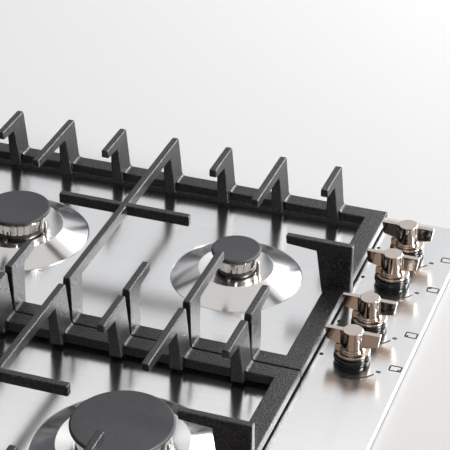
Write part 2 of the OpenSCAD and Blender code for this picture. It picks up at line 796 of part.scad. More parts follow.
module igniters() {
    nut_h = 2;
    color("#e8e2d6") for (i = BURNERS) at_burner(i) pin_place(i, igniter_turn) {
        translate([0, 0, pin_foot_z]) cylinder(r = pin_r, h = plate_h + ceramic_top_h - pin_foot_z);
        translate([0, 0, plate_h]) cylinder(r = electrode_r, h = electrode_top_h);
        translate([0, 0, plate_under + cone_h - nut_h]) cylinder(r = pin_nut_r, h = nut_h);
    }
}

module thermocouples() {
    nut_h = 2;
    color("#b8babd") for (i = BURNERS) at_burner(i) pin_place(i, thermocouple_turn) {
        translate([0, 0, pin_foot_z]) {
            cylinder(r = pin_r, h = plate_h + thermocouple_top_h - pin_r - pin_foot_z);
        }
        translate([0, 0, plate_h + thermocouple_top_h - pin_r]) sphere(r = pin_r);
        translate([0, 0, plate_under + cone_h - nut_h]) cylinder(r = pin_nut_r, h = nut_h);
    }
}

// Feed tubes from the taps to the cups
// Lanes across the cooktop, as shares of the way from the taps to the small burner's arm
feed_lane_shares = [0.365, 0.58, 0.71, 0.86];
tap_mouth_y = knob_y + outlet_l;
arm_end = [for (i = BURNERS) cup_r[i] + arm_l];
feed_span = front_burner_y - arm_end[FRONT_RIGHT] - tap_mouth_y;
feed_lane_y = [for (share = feed_lane_shares) tap_mouth_y + share * feed_span];
feed_lane_x = [0, -30, 50, 0];

function feed_path(i) =
    i == FRONT_LEFT || i == FRONT_RIGHT
        ? [[knob_x[i], tap_mouth_y, gas_z], [knob_x[i], feed_lane_y[i], gas_z],
            [burner_at[i][0], feed_lane_y[i], gas_z],
            [burner_at[i][0], burner_at[i][1] - arm_end[i], gas_z]]
        : [[knob_x[i], tap_mouth_y, gas_z], [knob_x[i], feed_lane_y[i], gas_z],
            [feed_lane_x[i], feed_lane_y[i], gas_z], [feed_lane_x[i], burner_at[i][1], gas_z],
            [burner_at[i][0] - sign(burner_at[i][0]) * arm_end[i], burner_at[i][1], gas_z]];

module feed(i) {
    color("#c3c6c9") tube_path(feed_path(i), feed_r);
}

// Grates
// A finger stands on a rail, with its outer edge at x = 0 and its tip towards +X
module finger(reach, proud) {
    foot_h = rail_gap;
    inner_top = upright_top_w;
    side = [[-proud, foot_h], [-proud, rail_top_h], [proud > 0 ? -proud : finger_inset, grate_h],
        [reach - proud, grate_h], [reach - proud - tip_lean, grate_h - tip_depth],
        [inner_top, grate_h - root_depth], [upright_foot_w, foot_h]];
    slope = (finger_foot_t - finger_t) / 2;
    intersection() {
        rotate([90, 0, 0]) linear_extrude(finger_foot_t * 2, center = true) polygon(side);
        rotate([90, 0, 90]) linear_extrude((reach + proud) * 2, center = true) {
            polygon([[-finger_t / 2 - slope, foot_h], [finger_t / 2 + slope, foot_h],
                [finger_t / 2, grate_h], [-finger_t / 2, grate_h]]);
        }
    }
}

// Sloped weld of cast metal between an upright's foot and the rail's top
module foot_fillets(rail_w) {
    half = finger_foot_t / 2;
    translate([rail_w / 2, 0, rail_top_h]) rotate([90, 0, 90]) {
        linear_extrude(rail_w - finger_inset, center = true) {
            polygon([[-half - foot_fillet, 0], [half + foot_fillet, 0],
                [half - fillet_top_in, foot_fillet], [fillet_top_in - half, foot_fillet]]);
        }
    }
}

// The right-hand grate, drawn from its inner rail outwards
module right_grate_shape() {
    left_x = grate_gap / 2;
    right_x = left_x + grate_w;
    front_y = grate_front_y;
    rear_y = front_y + grate_l;
    translate([0, 0, rail_gap]) linear_extrude(rail_h) difference() {
        translate([left_x, front_y]) square([grate_w, grate_l]);
        translate([left_x + side_rail_w, front_y + end_rail_w]) {
            square([grate_w - 2 * side_rail_w, grate_l - 2 * end_rail_w]);
        }
    }
    for (step = concat(long_finger_steps, short_finger_steps)) {
        reach = abs(step) == 2 ? long_reach : short_reach;
        translate([left_x, grate_mid_y + step * finger_pitch, 0]) {
            finger(reach, 0);
            foot_fillets(side_rail_w);
        }
        translate([right_x, grate_mid_y + step * finger_pitch, 0]) rotate([0, 0, 180]) {
            finger(reach, 0);
            foot_fillets(side_rail_w);
        }
    }
    for (turn = [0, 180]) translate([bay_x, grate_mid_y, 0]) rotate([0, 0, turn]) {
        translate([-bay_x + left_x, 0, 0]) {
            finger(grate_w / 2 + over, 0);
            foot_fillets(side_rail_w);
        }
        translate([0, front_y - grate_mid_y, 0]) rotate([0, 0, 90]) {
            finger(side_finger_reach, front_finger_proud);
        }
    }
    translate([bay_x, grate_mid_y, grate_h - root_depth]) {
        centred_box(finger_t, cross_pitch - 2 * tip_ring_r, root_depth);
    }
}

module foot_places() {
    for (x = [grate_gap / 2 + side_rail_w / 2, grate_gap / 2 + grate_w - side_rail_w / 2]) {
        for (step = [-1, 1]) {
            translate([x, grate_mid_y + step * (grate_l / 2 - end_rail_w / 2), 0]) children();
        }
    }
}

module right_grate() {
    difference() {
        right_grate_shape();
        foot_places() translate([0, 0, rail_gap - over]) {
            cylinder(r = foot_stud_r + fit, h = foot_stud_h + over);
        }
    }
}

module right_feet() {
    foot_places() {
        cylinder(r = foot_pad_r, h = rail_gap);
        cylinder(r = foot_stud_r, h = rail_gap + foot_stud_h - rest_gap);
    }
}

module grate_left() {
    color("#3b3c40") translate([0, 0, plate_h]) mirror([1, 0, 0]) right_grate();
}

module grate_right() {
    color("#3b3c40") translate([0, 0, plate_h]) right_grate();
}

module feet_left() {
    color("#1b1b1d") translate([0, 0, plate_h]) mirror([1, 0, 0]) right_feet();
}

module feet_right() {
    color("#1b1b1d") translate([0, 0, plate_h]) right_feet();
}

// Ignition and mains pieces on the casing's floor
module ignition_module() {
    lead_r = 2.2;
    lead_h = 6;
    lead_share = 0.2;
    color("#e6e6e2") translate([module_at[0], module_at[1], casing_floor]) {
        centred_box(module_size[0], module_size[1], module_size[2]);
        for (n = [-1.5:1:1.5]) translate([n * module_size[0] * lead_share, 0, module_size[2]]) {
            cylinder(r = lead_r, h = lead_h);
        }
    }
}

module mains_terminal() {
    wall_y = tray_d / 2 - tray_t;
    color("#e6e6e2") {
        translate([terminal_x, wall_y - terminal_size[1] / 2, casing_floor]) {
            centred_box(terminal_size[0], terminal_size[1], terminal_size[2]);
        }
        translate([terminal_x, wall_y - over, casing_floor + terminal_size[2] / 2]) rotate([-90, 0, 0]) {
            difference() {
                cylinder(r = gland_r, h = gland_l + over);
                translate([0, 0, over]) cylinder(r = gland_r / 2, h = gland_l + over);
            }
        }
    }
}

module spark_switches() {
    color("#e6e6e2") for (i = BURNERS) at_knob(i) {
        translate([0, -tap_collar_r - switch_size[1] / 2, tap_top + bonnet_t]) {
            centred_box(switch_size[0], switch_size[1], switch_size[2]);
        }
    }
}

top_plate();
rim_seal();
base_casing();
casing_brackets();
casing_screws();
worktop_clamps();
clamp_screws();
burner_beams();
cup_screws();
gas_manifold();
manifold_saddles();
saddle_screws();
gas_inlet_elbow();
ignition_module();
mains_terminal();
spark_switches();
igniters();
thermocouples();
injectors();
tap(FRONT_LEFT);  // tap_front_left
tap(REAR_LEFT);  // tap_rear_left
tap(REAR_RIGHT);  // tap_rear_right
tap(FRONT_RIGHT);  // tap_front_right
spindle(FRONT_LEFT);  // spindle_front_left
spindle(REAR_LEFT);  // spindle_rear_left
spindle(REAR_RIGHT);  // spindle_rear_right
spindle(FRONT_RIGHT);  // spindle_front_right
push_pin(FRONT_LEFT);  // push_pin_front_left
push_pin(REAR_LEFT);  // push_pin_rear_left
push_pin(REAR_RIGHT);  // push_pin_rear_right
push_pin(FRONT_RIGHT);  // push_pin_front_right
knob(FRONT_LEFT);  // knob_front_left
knob(REAR_LEFT);  // knob_rear_left
knob(REAR_RIGHT);  // knob_rear_right
knob(FRONT_RIGHT);  // knob_front_right
boot(FRONT_LEFT);  // boot_front_left
boot(REAR_LEFT);  // boot_rear_left
boot(REAR_RIGHT);  // boot_rear_right
boot(FRONT_RIGHT);  // boot_front_right
feed(FRONT_LEFT);  // feed_front_left
feed(REAR_LEFT);  // feed_rear_left
feed(REAR_RIGHT);  // feed_rear_right
feed(FRONT_RIGHT);  // feed_front_right
burner_cup(FRONT_LEFT);  // cup_front_left
burner_cup(REAR_LEFT);  // cup_rear_left
burner_cup(REAR_RIGHT);  // cup_rear_right
burner_cup(FRONT_RIGHT);  // cup_front_right
crown(FRONT_LEFT);  // crown_front_left
crown(REAR_LEFT);  // crown_rear_left
crown(REAR_RIGHT);  // crown_rear_right
crown(FRONT_RIGHT);  // crown_front_right
cap(FRONT_LEFT);  // cap_front_left
cap(REAR_LEFT);  // cap_rear_left
cap(REAR_RIGHT);  // cap_rear_right
cap(FRONT_RIGHT);  // cap_front_right
grate_left();
grate_right();
feet_left();
feet_right();
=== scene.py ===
"""A built-in gas cooktop, dressed around its CAD frame: plate, prints, burners, knobs, grates."""

import json
import math

import bmesh
import bpy
import numpy as np
from mathutils import Matrix, Vector
from mathutils.geometry import tessellate_polygon


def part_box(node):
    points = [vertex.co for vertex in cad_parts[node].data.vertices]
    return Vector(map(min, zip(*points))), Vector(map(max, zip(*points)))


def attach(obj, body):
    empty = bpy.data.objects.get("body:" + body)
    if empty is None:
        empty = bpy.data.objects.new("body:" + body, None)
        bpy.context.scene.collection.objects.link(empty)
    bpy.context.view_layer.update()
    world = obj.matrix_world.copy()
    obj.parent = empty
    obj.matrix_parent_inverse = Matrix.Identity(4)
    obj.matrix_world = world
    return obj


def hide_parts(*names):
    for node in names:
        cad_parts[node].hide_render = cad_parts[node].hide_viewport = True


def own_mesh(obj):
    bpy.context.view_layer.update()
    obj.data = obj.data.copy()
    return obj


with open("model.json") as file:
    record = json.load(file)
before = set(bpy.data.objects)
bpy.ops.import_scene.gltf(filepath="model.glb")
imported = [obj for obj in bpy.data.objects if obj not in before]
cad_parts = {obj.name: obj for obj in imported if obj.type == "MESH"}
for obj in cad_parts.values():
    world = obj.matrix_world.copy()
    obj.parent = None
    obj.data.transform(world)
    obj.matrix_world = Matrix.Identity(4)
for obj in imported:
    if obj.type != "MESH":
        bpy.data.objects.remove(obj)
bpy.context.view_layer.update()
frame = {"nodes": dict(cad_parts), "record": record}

MM = 0.001
HOB = "hob"
CORNERS = ["front_left", "rear_left", "rear_right", "front_right"]

# Places and sizes taken from the frame. The plate's flat is as far below the grates' iron as
# their rubber feet are high.
FEET_HIGH = 3 * MM
plate_low, plate_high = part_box("top_plate")
PLATE_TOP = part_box("grate_left")[0].z - FEET_HIGH
PLATE_SIZE = (plate_high.x - plate_low.x, plate_high.y - plate_low.y)


def middle(node):
    """Centre of a CAD node's box in plan."""
    low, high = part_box(node)
    return np.array([(low.x + high.x) / 2, (low.y + high.y) / 2])


def half_width(node):
    """Half of a CAD node's box across X, which is the radius of a round one."""
    low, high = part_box(node)
    return (high.x - low.x) / 2


BURNER = {c: middle("cap_" + c) for c in CORNERS}
KNOB = {c: (middle("tap_" + c)[0], middle("boot_" + c)[1]) for c in CORNERS}


# Mesh tools
def grid_faces(rows, columns, close_rows=False, close_columns=False, first=0):
    """Quads of a rows x columns grid of points, as an array of corner numbers."""
    r = np.arange(rows if close_rows else rows - 1)
    c = np.arange(columns if close_columns else columns - 1)
    r, c = np.meshgrid(r, c, indexing="ij")
    r2, c2 = (r + 1) % rows, (c + 1) % columns
    quads = np.stack([r * columns + c, r2 * columns + c, r2 * columns + c2, r * columns + c2], -1)
    return first + quads.reshape(-1, 4)


MERGE, SHELL_MERGE = 1e-6, 1e-8


def mesh_object(name, points, faces, merge=MERGE, recalculate=True):
    """Object at the origin from an array of points and an array of faces, doubles merged."""
    mesh = bpy.data.meshes.new(name)
    mesh.from_pydata(np.asarray(points).reshape(-1, 3).tolist(), [], [list(f) for f in faces])
    shape = bmesh.new()
    shape.from_mesh(mesh)
    bmesh.ops.remove_doubles(shape, verts=shape.verts, dist=merge)
    if recalculate:
        bmesh.ops.recalc_face_normals(shape, faces=shape.faces)
    shape.to_mesh(mesh)
    shape.free()
    mesh.update()
    obj = bpy.data.objects.new(name, mesh)
    bpy.context.scene.collection.objects.link(obj)
    return obj


def shade(obj, angle):
    """Smooth shading, with a crease where two faces meet at more than the angle."""
    obj.data.shade_smooth()
    obj.data.set_sharp_from_angle(angle=math.radians(angle))
    return obj


def unit(v):
    """The vector divided by its length."""
    return v / np.linalg.norm(v)


STRAIGHT = 1e-4


def filleted(corners, steps):
    """Polyline through (x, y, radius) corners, each rounded by an arc whose centre lies on the
    corner's bisector at radius / sin(half angle)."""
    points = np.array([c[:2] for c in corners], float)
    out = [points[:1]]
    for before, here, after, (_, _, radius) in zip(points, points[1:], points[2:], corners[1:]):
        u, w = unit(before - here), unit(after - here)
        half = 0.5 * math.acos(np.clip(u @ w, -1, 1))
        if radius <= 0 or half > math.pi / 2 - STRAIGHT:
            out.append(here[None])
            continue
        centre = here + unit(u + w) * radius / math.sin(half)
        start = here + u * radius / math.tan(half) - centre
        end = here + w * radius / math.tan(half) - centre
        first = math.atan2(start[1], start[0])
        sweep = (math.atan2(end[1], end[0]) - first + math.pi) % (2 * math.pi) - math.pi
        angles = first + np.linspace(0, 1, steps + 1) * sweep
        out.append(centre + radius * np.stack([np.cos(angles), np.sin(angles)], 1))
    out.append(points[-1:])
    return np.vstack(out)


def revolved(profile, centre, turns, radius_of=None):
    """Points of a surface of revolution: x = cx + r cos t, y = cy + r sin t, z as in the profile.
    radius_of(r, z, t) may change r round the turn."""
    t = np.linspace(0, 2 * math.pi, turns, endpoint=False)[:, None]
    r, z = profile[:, 0][None] + 0 * t, profile[:, 1][None] + 0 * t
    if radius_of:
        r = radius_of(r, z, t)
    return np.stack([centre[0] + r * np.cos(t), centre[1] + r * np.sin(t), z], -1)


def revolved_object(name, profile, centre, turns, radius_of=None, closed=False, angle=35):
    """Object of one surface of revolution."""
    points = revolved(profile, centre, turns, radius_of)
    faces = grid_faces(turns, len(profile), close_rows=True, close_columns=closed)
    return shade(mesh_object(name, points, faces), angle)


def rounded_rectangle(width, depth, radius, steps=8):
    """Points and outward normals round a rectangle whose corners are arcs."""
    turn = np.linspace(0, math.pi / 2, steps + 1)
    angles = np.concatenate([turn + k * math.pi / 2 for k in range(4)])
    centres = np.repeat(np.array([[1, 1], [-1, 1], [-1, -1], [1, -1]]), steps + 1, 0)
    centres = centres * [width / 2 - radius, depth / 2 - radius]
    normals = np.stack([np.cos(angles), np.sin(angles)], 1)
    return centres + radius * normals, normals


def circle(centre, radius, turns):
    """Points of a circle: x = cx + r cos t, y = cy + r sin t."""
    t = np.linspace(0, 2 * math.pi, turns, endpoint=False)
    return np.stack([centre[0] + radius * np.cos(t), centre[1] + radius * np.sin(t)], 1)


def with_height(plan, z):
    """Points in plan, all at one height."""
    return np.column_stack([plan, np.full(len(plan), z)])


def filled(loops, z):
    """Flat between an outline and the holes in it: their points at one height, and triangles."""
    points = [with_height(loop, z) for loop in loops]
    triangles = tessellate_polygon([[Vector(v) for v in p] for p in points])
    return np.vstack(points), [list(t) for t in triangles]


def face_up(obj):
    """Turns the faces over where more of their area looks down than up."""
    if sum(p.normal.z * p.area for p in obj.data.polygons) < 0:
        obj.data.flip_normals()


def points_of(mesh):
    """The mesh's points as rows of x, y, z."""
    points = np.empty(len(mesh.vertices) * 3)
    mesh.vertices.foreach_get("co", points)
    return points.reshape(-1, 3)


def faces_of(mesh):
    """The mesh's faces as lists of corner numbers."""
    corners, starts = np.empty(len(mesh.loops), int), np.empty(len(mesh.polygons), int)
    mesh.loops.foreach_get("vertex_index", corners)
    mesh.polygons.foreach_get("loop_start", starts)
    return [face.tolist() for face in np.split(corners, starts[1:])]


def thickened(obj, thickness):
    """The sheet gets its thickness on the inner side."""
    solid = obj.modifiers.new("wall", "SOLIDIFY")
    solid.thickness = thickness
    solid.offset = -1
    solid.use_even_offset = True


FLAT_WEIGHT = 80


def flattened(obj):
    """Large faces keep their own normal, so a flat between rounded edges reflects as a flat."""
    weight = obj.modifiers.new("flat_faces", "WEIGHTED_NORMAL")
    weight.keep_sharp = True
    weight.weight = FLAT_WEIGHT
    return obj


def prism(section, low, high, width=1.0):
    """Corners and faces of a section pushed from low to high: section holds (u, v) corners, and
    width(v) may narrow it, so its corners lie at (u, low width(v), v) and (u, high width(v), v)."""
    section = np.asarray(section, float)
    across, up = section.T
    narrow = width(up) if callable(width) else width
    sides = [np.column_stack([across, reach * narrow * np.ones(len(up)), up])
             for reach in (low, high)]
    count = len(section)
    ring = [[i, (i + 1) % count, (i + 1) % count + count, i + count] for i in range(count)]
    return np.vstack(sides), [list(range(count))[::-1], list(range(count, 2 * count))] + ring


SOFT_STEPS, SOFT_ANGLE = 3, 20


def softened(points, faces, radius):
    """The same closed shell with every edge sharper than the angle rounded off by an arc."""
    mesh = bpy.data.meshes.new("shell")
    mesh.from_pydata(np.asarray(points).tolist(), [], faces)
    shape = bmesh.new()
    shape.from_mesh(mesh)
    bmesh.ops.recalc_face_normals(shape, faces=shape.faces)
    sharp = [e for e in shape.edges if e.calc_face_angle(0) > math.radians(SOFT_ANGLE)]
    bmesh.ops.bevel(shape, geom=sharp, offset=radius, offset_type="OFFSET", segments=SOFT_STEPS,
                    profile=0.5, affect="EDGES", clamp_overlap=True)
    shape.to_mesh(mesh)
    shape.free()
    points, faces = points_of(mesh), faces_of(mesh)
    bpy.data.meshes.remove(mesh)
    return points, faces


def turned(points, degrees, place):
    """Points turned about the vertical, x' = x cos a - y sin a and y' = x sin a + y cos a, and
    then moved."""
    a = math.radians(degrees)
    spin = np.array([[math.cos(a), math.sin(a), 0], [-math.sin(a), math.cos(a), 0], [0, 0, 1]])
    return points @ spin + np.array(place)


def joined(name, shells, angle=40):
    """One object of several closed shells, joined only where points fall on each other."""
    points, faces, first = [], [], 0
    for shell_points, shell_faces in shells:
        points.append(shell_points)
        faces += [[first + int(v) for v in f] for f in shell_faces]
        first += len(shell_points)
    return flattened(shade(mesh_object(name, np.vstack(points), faces, SHELL_MERGE), angle))


def placed(obj, body, material, *nodes):
    """The piece rides on a body, has a material and stands for CAD nodes."""
    obj.data.materials.clear()
    obj.data.materials.append(MATERIALS[material])
    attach(obj, body)
    if nodes:
        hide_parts(*nodes)


# Materials
class Finish:
    """A Principled material with short ways to add noise, colour change, roughness and bump."""

    def __init__(self, name, color, roughness, metallic=0, **sockets):
        self.material = bpy.data.materials.new(name)
        self.material.use_nodes = True
        self.nodes = self.material.node_tree.nodes
        self.links = self.material.node_tree.links
        self.shader = self.nodes["Principled BSDF"]
        self.shader.inputs["Base Color"].default_value = (*color, 1)
        self.shader.inputs["Metallic"].default_value = metallic
        self.shader.inputs["Roughness"].default_value = roughness
        for socket, value in sockets.items():
            self.shader.inputs[socket.replace("_", " ")].default_value = value
        self.place = self.nodes.new("ShaderNodeTexCoord").outputs["Object"]
        self.normal = None

    def noise(self, scale, stretch=(1, 1, 1), detail=4, rough=0.6):
        """Noise on Object coordinates, in cycles per metre."""
        mapping = self.nodes.new("ShaderNodeMapping")
        mapping.inputs["Scale"].default_value = stretch
        texture = self.nodes.new("ShaderNodeTexNoise")
        texture.inputs["Scale"].default_value = scale
        texture.inputs["Detail"].default_value = detail
        texture.inputs["Roughness"].default_value = rough
        self.links.new(self.place, mapping.inputs["Vector"])
        self.links.new(mapping.outputs[0], texture.inputs["Vector"])
        return texture.outputs["Fac"]

    def ranged(self, value, low, high, start=0.3, stop=0.7):
        """The value's stretch from start to stop, mapped to low to high."""
        node = self.nodes.new("ShaderNodeMapRange")
        node.inputs["From Min"].default_value = start
        node.inputs["From Max"].default_value = stop
        node.inputs["To Min"].default_value = low
        node.inputs["To Max"].default_value = high
        self.links.new(value, node.inputs["Value"])
        return node.outputs["Result"]

    def color(self, value, low, high):
        """Base colour between two colours by a value from 0 to 1."""
        node = self.nodes.new("ShaderNodeMix")
        node.data_type = "RGBA"
        node.inputs["A"].default_value = (*low, 1)
        node.inputs["B"].default_value = (*high, 1)
        self.links.new(value, node.inputs["Factor"])
        self.links.new(node.outputs["Result"], self.shader.inputs["Base Color"])

    def roughness(self, value):
        """Roughness from a value."""
        self.links.new(value, self.shader.inputs["Roughness"])

    def bump(self, value, height, strength):
        """Adds a bump of that height in metres on top of the bumps before it."""
        node = self.nodes.new("ShaderNodeBump")
        node.inputs["Strength"].default_value = strength
        node.inputs["Distance"].default_value = height
        self.links.new(value, node.inputs["Height"])
        if self.normal:
            self.links.new(self.normal, node.inputs["Normal"])
        self.normal = node.outputs["Normal"]
        self.links.new(self.normal, self.shader.inputs["Normal"])


def brushed_plate():
    """Satin steel with fine lines along the cooktop's depth, which draw its reflections out in
    width."""
    f = Finish("brushed_plate", (0.64, 0.64, 0.64), metallic=1, roughness=0.2, Anisotropic=0.4)
    tangent = f.nodes.new("ShaderNodeTangent")
    tangent.direction_type = "UV_MAP"
    tangent.uv_map = "grain"
    f.links.new(tangent.outputs[0], f.shader.inputs["Tangent"])
    lines = f.noise(60, stretch=(40, 0.12, 8), detail=3)
    cloud = f.noise(9, detail=2)
    f.color(f.ranged(lines, 0, 1), (0.615, 0.615, 0.615), (0.66, 0.66, 0.66))
    f.roughness(f.ranged(cloud, 0.18, 0.22))
    return f.material


def plain_steel(name, color, roughness, scale=300):
    """Machine-finished metal with a faint cloudy roughness."""
    f = Finish(name, color, metallic=1, roughness=roughness)
    cloud = f.noise(scale, detail=3)
    f.roughness(f.ranged(cloud, roughness - 0.06, roughness + 0.08))
    f.color(f.ranged(f.noise(scale / 8), 0, 1), [0.9 * c for c in color], color)
    f.bump(cloud, height=0.00003, strength=0.3)
    return f.material


def zinc_coat():
    """Galvanised sheet with its large pale crystals."""
    f = Finish("zinc_coat", (0.6, 0.62, 0.64), metallic=0.9, roughness=0.42)
    cells = f.nodes.new("ShaderNodeTexVoronoi")
    cells.inputs["Scale"].default_value = 140
    f.links.new(f.place, cells.inputs["Vector"])
    shades = f.ranged(cells.outputs["Color"], 0, 1, 0.1, 0.9)
    f.color(shades, (0.48, 0.5, 0.52), (0.66, 0.68, 0.7))
    f.roughness(f.ranged(f.noise(60), 0.36, 0.5))
    return f.material


def grate_enamel():
    """Satin black enamel over cast iron: near-black brown with a fine glittering grain."""
    f = Finish("grate_enamel", (0.016, 0.014, 0.014), roughness=0.3, Specular_IOR_Level=0.62)
    grain = f.noise(620, detail=2, rough=0.6)
    cloud = f.noise(110, detail=3)
    f.color(f.ranged(grain, 0, 1, 0.42, 0.66), (0.0006, 0.0005, 0.0005), (0.034, 0.034, 0.037))
    f.roughness(f.ranged(cloud, 0.27, 0.33))
    f.bump(grain, height=0.0007, strength=1)
    return f.material


def cap_enamel():
    """Slate enamel of the burner caps, finer and flatter than the grates'."""
    f = Finish("cap_enamel", (0.04, 0.042, 0.048), roughness=0.5, Specular_IOR_Level=0.45)
    grain = f.noise(1500, detail=2)
    f.color(f.ranged(grain, 0, 1, 0.4, 0.65), (0.028, 0.029, 0.033), (0.052, 0.054, 0.06))
    f.roughness(f.ranged(f.noise(90), 0.46, 0.54))
    f.bump(grain, height=0.00003, strength=0.25)
    return f.material


def polished_nickel():
    """Warm mirror finish of the knobs, hardly clouded."""
    f = Finish("polished_nickel", (0.52, 0.465, 0.42), metallic=1, roughness=0.08)
    f.roughness(f.ranged(f.noise(160), 0.06, 0.1))
    f.color(f.ranged(f.noise(40), 0, 1), (0.5, 0.445, 0.4), (0.54, 0.485, 0.44))
    return f.material


def polished_crown():
    """Bright metal of the burner crowns."""
    f = Finish("polished_crown", (0.74, 0.72, 0.69), metallic=1, roughness=0.14)
    f.roughness(f.ranged(f.noise(300), 0.1, 0.18))
    f.color(f.ranged(f.noise(80), 0, 1), (0.68, 0.65, 0.61), (0.78, 0.76, 0.74))
    return f.material


def glossy_rubber(name, roughness):
    """Black rubber, from glossy to matte by its roughness, with a faint cloud."""
    f = Finish(name, (0.012, 0.012, 0.013), roughness=roughness, Specular_IOR_Level=0.55)
    cloud = f.noise(260, detail=3)
    f.color(f.ranged(cloud, 0, 1), (0.004, 0.004, 0.004), (0.009, 0.009, 0.009))
    f.roughness(f.ranged(cloud, roughness - 0.03, roughness + 0.04))
    f.bump(cloud, height=0.00002, strength=0.1)
    return f.material


def seal_foam():
    """Dark foam with fine pores."""
    f = Finish("seal_foam", (0.03, 0.03, 0.033), roughness=0.9)
    pores = f.noise(1400, detail=2)
    f.color(f.ranged(pores, 0, 1), (0.015, 0.015, 0.017), (0.05, 0.05, 0.055))
    f.bump(pores, height=0.0003, strength=0.6)
    return f.material


def pale_ceramic(name, color, roughness):
    """Moulded or glazed pale material with a slight mottle."""
    f = Finish(name, color, roughness=roughness)
    cloud = f.noise(220, detail=2)
    f.color(f.ranged(cloud, 0, 1), [0.9 * c for c in color], color)
    f.roughness(f.ranged(cloud, roughness - 0.05, roughness + 0.08))
    f.bump(cloud, height=0.00005, strength=0.2)
    return f.material


def dark_print():
    """Black print fired on the plate, slightly uneven."""
    f = Finish("dark_print", (0.015, 0.015, 0.016), roughness=0.45, Specular_IOR_Level=0.15)
    f.color(f.ranged(f.noise(900), 0, 1), (0.01, 0.01, 0.011), (0.03, 0.03, 0.032))
    return f.material


def pale_floor():
    """Pale even worktop."""
    f = Finish("pale_floor", (0.435, 0.435, 0.435), roughness=0.8, Specular_IOR_Level=0.2)
    f.color(f.ranged(f.noise(1.2), 0, 1), (0.433, 0.433, 0.436), (0.437, 0.437, 0.438))
    return f.material


MATERIALS = {
    "plate": brushed_plate(),
    "zinc": zinc_coat(),
    "screw": plain_steel("zinc_screw", (0.62, 0.63, 0.65), 0.3),
    "tube": plain_steel("plated_tube", (0.6, 0.61, 0.63), 0.28),
    "spindle": plain_steel("turned_spindle", (0.62, 0.63, 0.64), 0.22),
    "probe": plain_steel("drawn_probe", (0.6, 0.57, 0.53), 0.2, 500),
    "feed": plain_steel("drawn_aluminium", (0.76, 0.77, 0.78), 0.3),
    "brass": plain_steel("machined_brass", (0.72, 0.52, 0.22), 0.28),
    "cup": plain_steel("cup_casting", (0.16, 0.15, 0.14), 0.38),
    "crown": polished_crown(),
    "cap": cap_enamel(),
    "knob": polished_nickel(),
    "boot": glossy_rubber("boot_rubber", 0.14),
    "foot": glossy_rubber("foot_rubber", 0.55),
    "seal": seal_foam(),
    "grate": grate_enamel(),
    "ceramic": pale_ceramic("glazed_ceramic", (0.82, 0.8, 0.74), 0.25),
    "plastic": pale_ceramic("moulded_plastic", (0.8, 0.8, 0.77), 0.5),
    "print": dark_print(),
}
SLOT_OF = {
    "plate": "steel_plate", "zinc": "casing_steel", "screw": "screw_steel", "tube": "tube_steel",
    "spindle": "spindle_steel", "probe": "probe_steel", "feed": "feed_aluminium", "brass": "brass",
    "cup": "cup_casting", "crown": "crown_metal", "cap": "cap_enamel", "knob": "knob_nickel",
    "boot": "boot_rubber", "foot": "foot_rubber", "seal": "foam_seal", "grate": "grate_iron",
    "ceramic": "white_ceramic", "plastic": "white_plastic", "print": "steel_plate",
}


def dress_nodes():
    """Every CAD node gets the material of its slot in the record, as some stay in sight."""
    by_slot = {slot: key for key, slot in SLOT_OF.items() if key != "print"}
    for part in frame["record"]["subparts"]:
        mesh = frame["nodes"][part["node"]].data
        mesh.materials.clear()
        mesh.materials.append(MATERIALS[by_slot[part["material_slot"]]])


# The plate
SHEET = 1.0 * MM
RIM_LEAN = 2.4 * MM
RIM_FOOT = 0.8 * MM
RIM_STEP = 9
FLAT_BAND = 1.2 * MM
PLATE_CORNER = 9 * MM
PLATE_CREASE = 40
CONE_RADIUS = dict(zip(CORNERS, (77 * MM, 66.3 * MM, 66.3 * MM, 60.3 * MM)))
CONE_HEIGHT = 10.5 * MM
CONE_BRIM = 2.4 * MM
CONE_FILLET = 2 * MM
CONE_FILLET_STEPS = 10
CREASE_OUTER = 1.6 * MM
CREASE_BOTTOM = 1.0 * MM
CREASE_INNER = 0.5 * MM
CREASE_DEEP = 1.3 * MM
DISC_MARGIN = 11.8 * MM
DISC_DISH = 1.9 * MM
SPINDLE_HOLE = 7.5 * MM
RISE_TURNS = 160
HOLE_TURNS = 64
ROUND_BRUSHED = 2.3 * MM
ROUND_BRUSH_SCALE = 0.1
PLATE_MERGE = 2e-6

# Sizes that a burner's plate hole, cup, crown and cap share
CUP_WALL = 2.5 * MM
CUP_HOLE_GAP = 0.6 * MM
CROWN_TAPER = 1.9 * MM
CROWN_WALL = 2 * MM
SPIGOT_GAP = 0.3 * MM
CUP_RADIUS = {c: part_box("crown_" + c)[1].x - BURNER[c][0] - CROWN_TAPER - CUP_WALL
              for c in CORNERS}


def cone_profile(c):
    """Section of a pressed cone, from the flat inwards: brim, crease, slope, dished disc, hole."""
    foot, disc = CONE_RADIUS[c], half_width("cap_" + c) + DISC_MARGIN
    return filleted([
        (foot + CONE_BRIM, PLATE_TOP, 0),
        (foot + CREASE_OUTER, PLATE_TOP, 0),
        (foot + CREASE_BOTTOM, PLATE_TOP - CREASE_DEEP, 0),
        (foot + CREASE_INNER, PLATE_TOP, 0),
        (disc, PLATE_TOP + CONE_HEIGHT, CONE_FILLET),
        (half_width("crown_" + c), PLATE_TOP + CONE_HEIGHT - DISC_DISH, CONE_FILLET),
        (CUP_RADIUS[c] + CUP_HOLE_GAP, PLATE_TOP + CONE_HEIGHT - DISC_DISH, 0)], CONE_FILLET_STEPS)


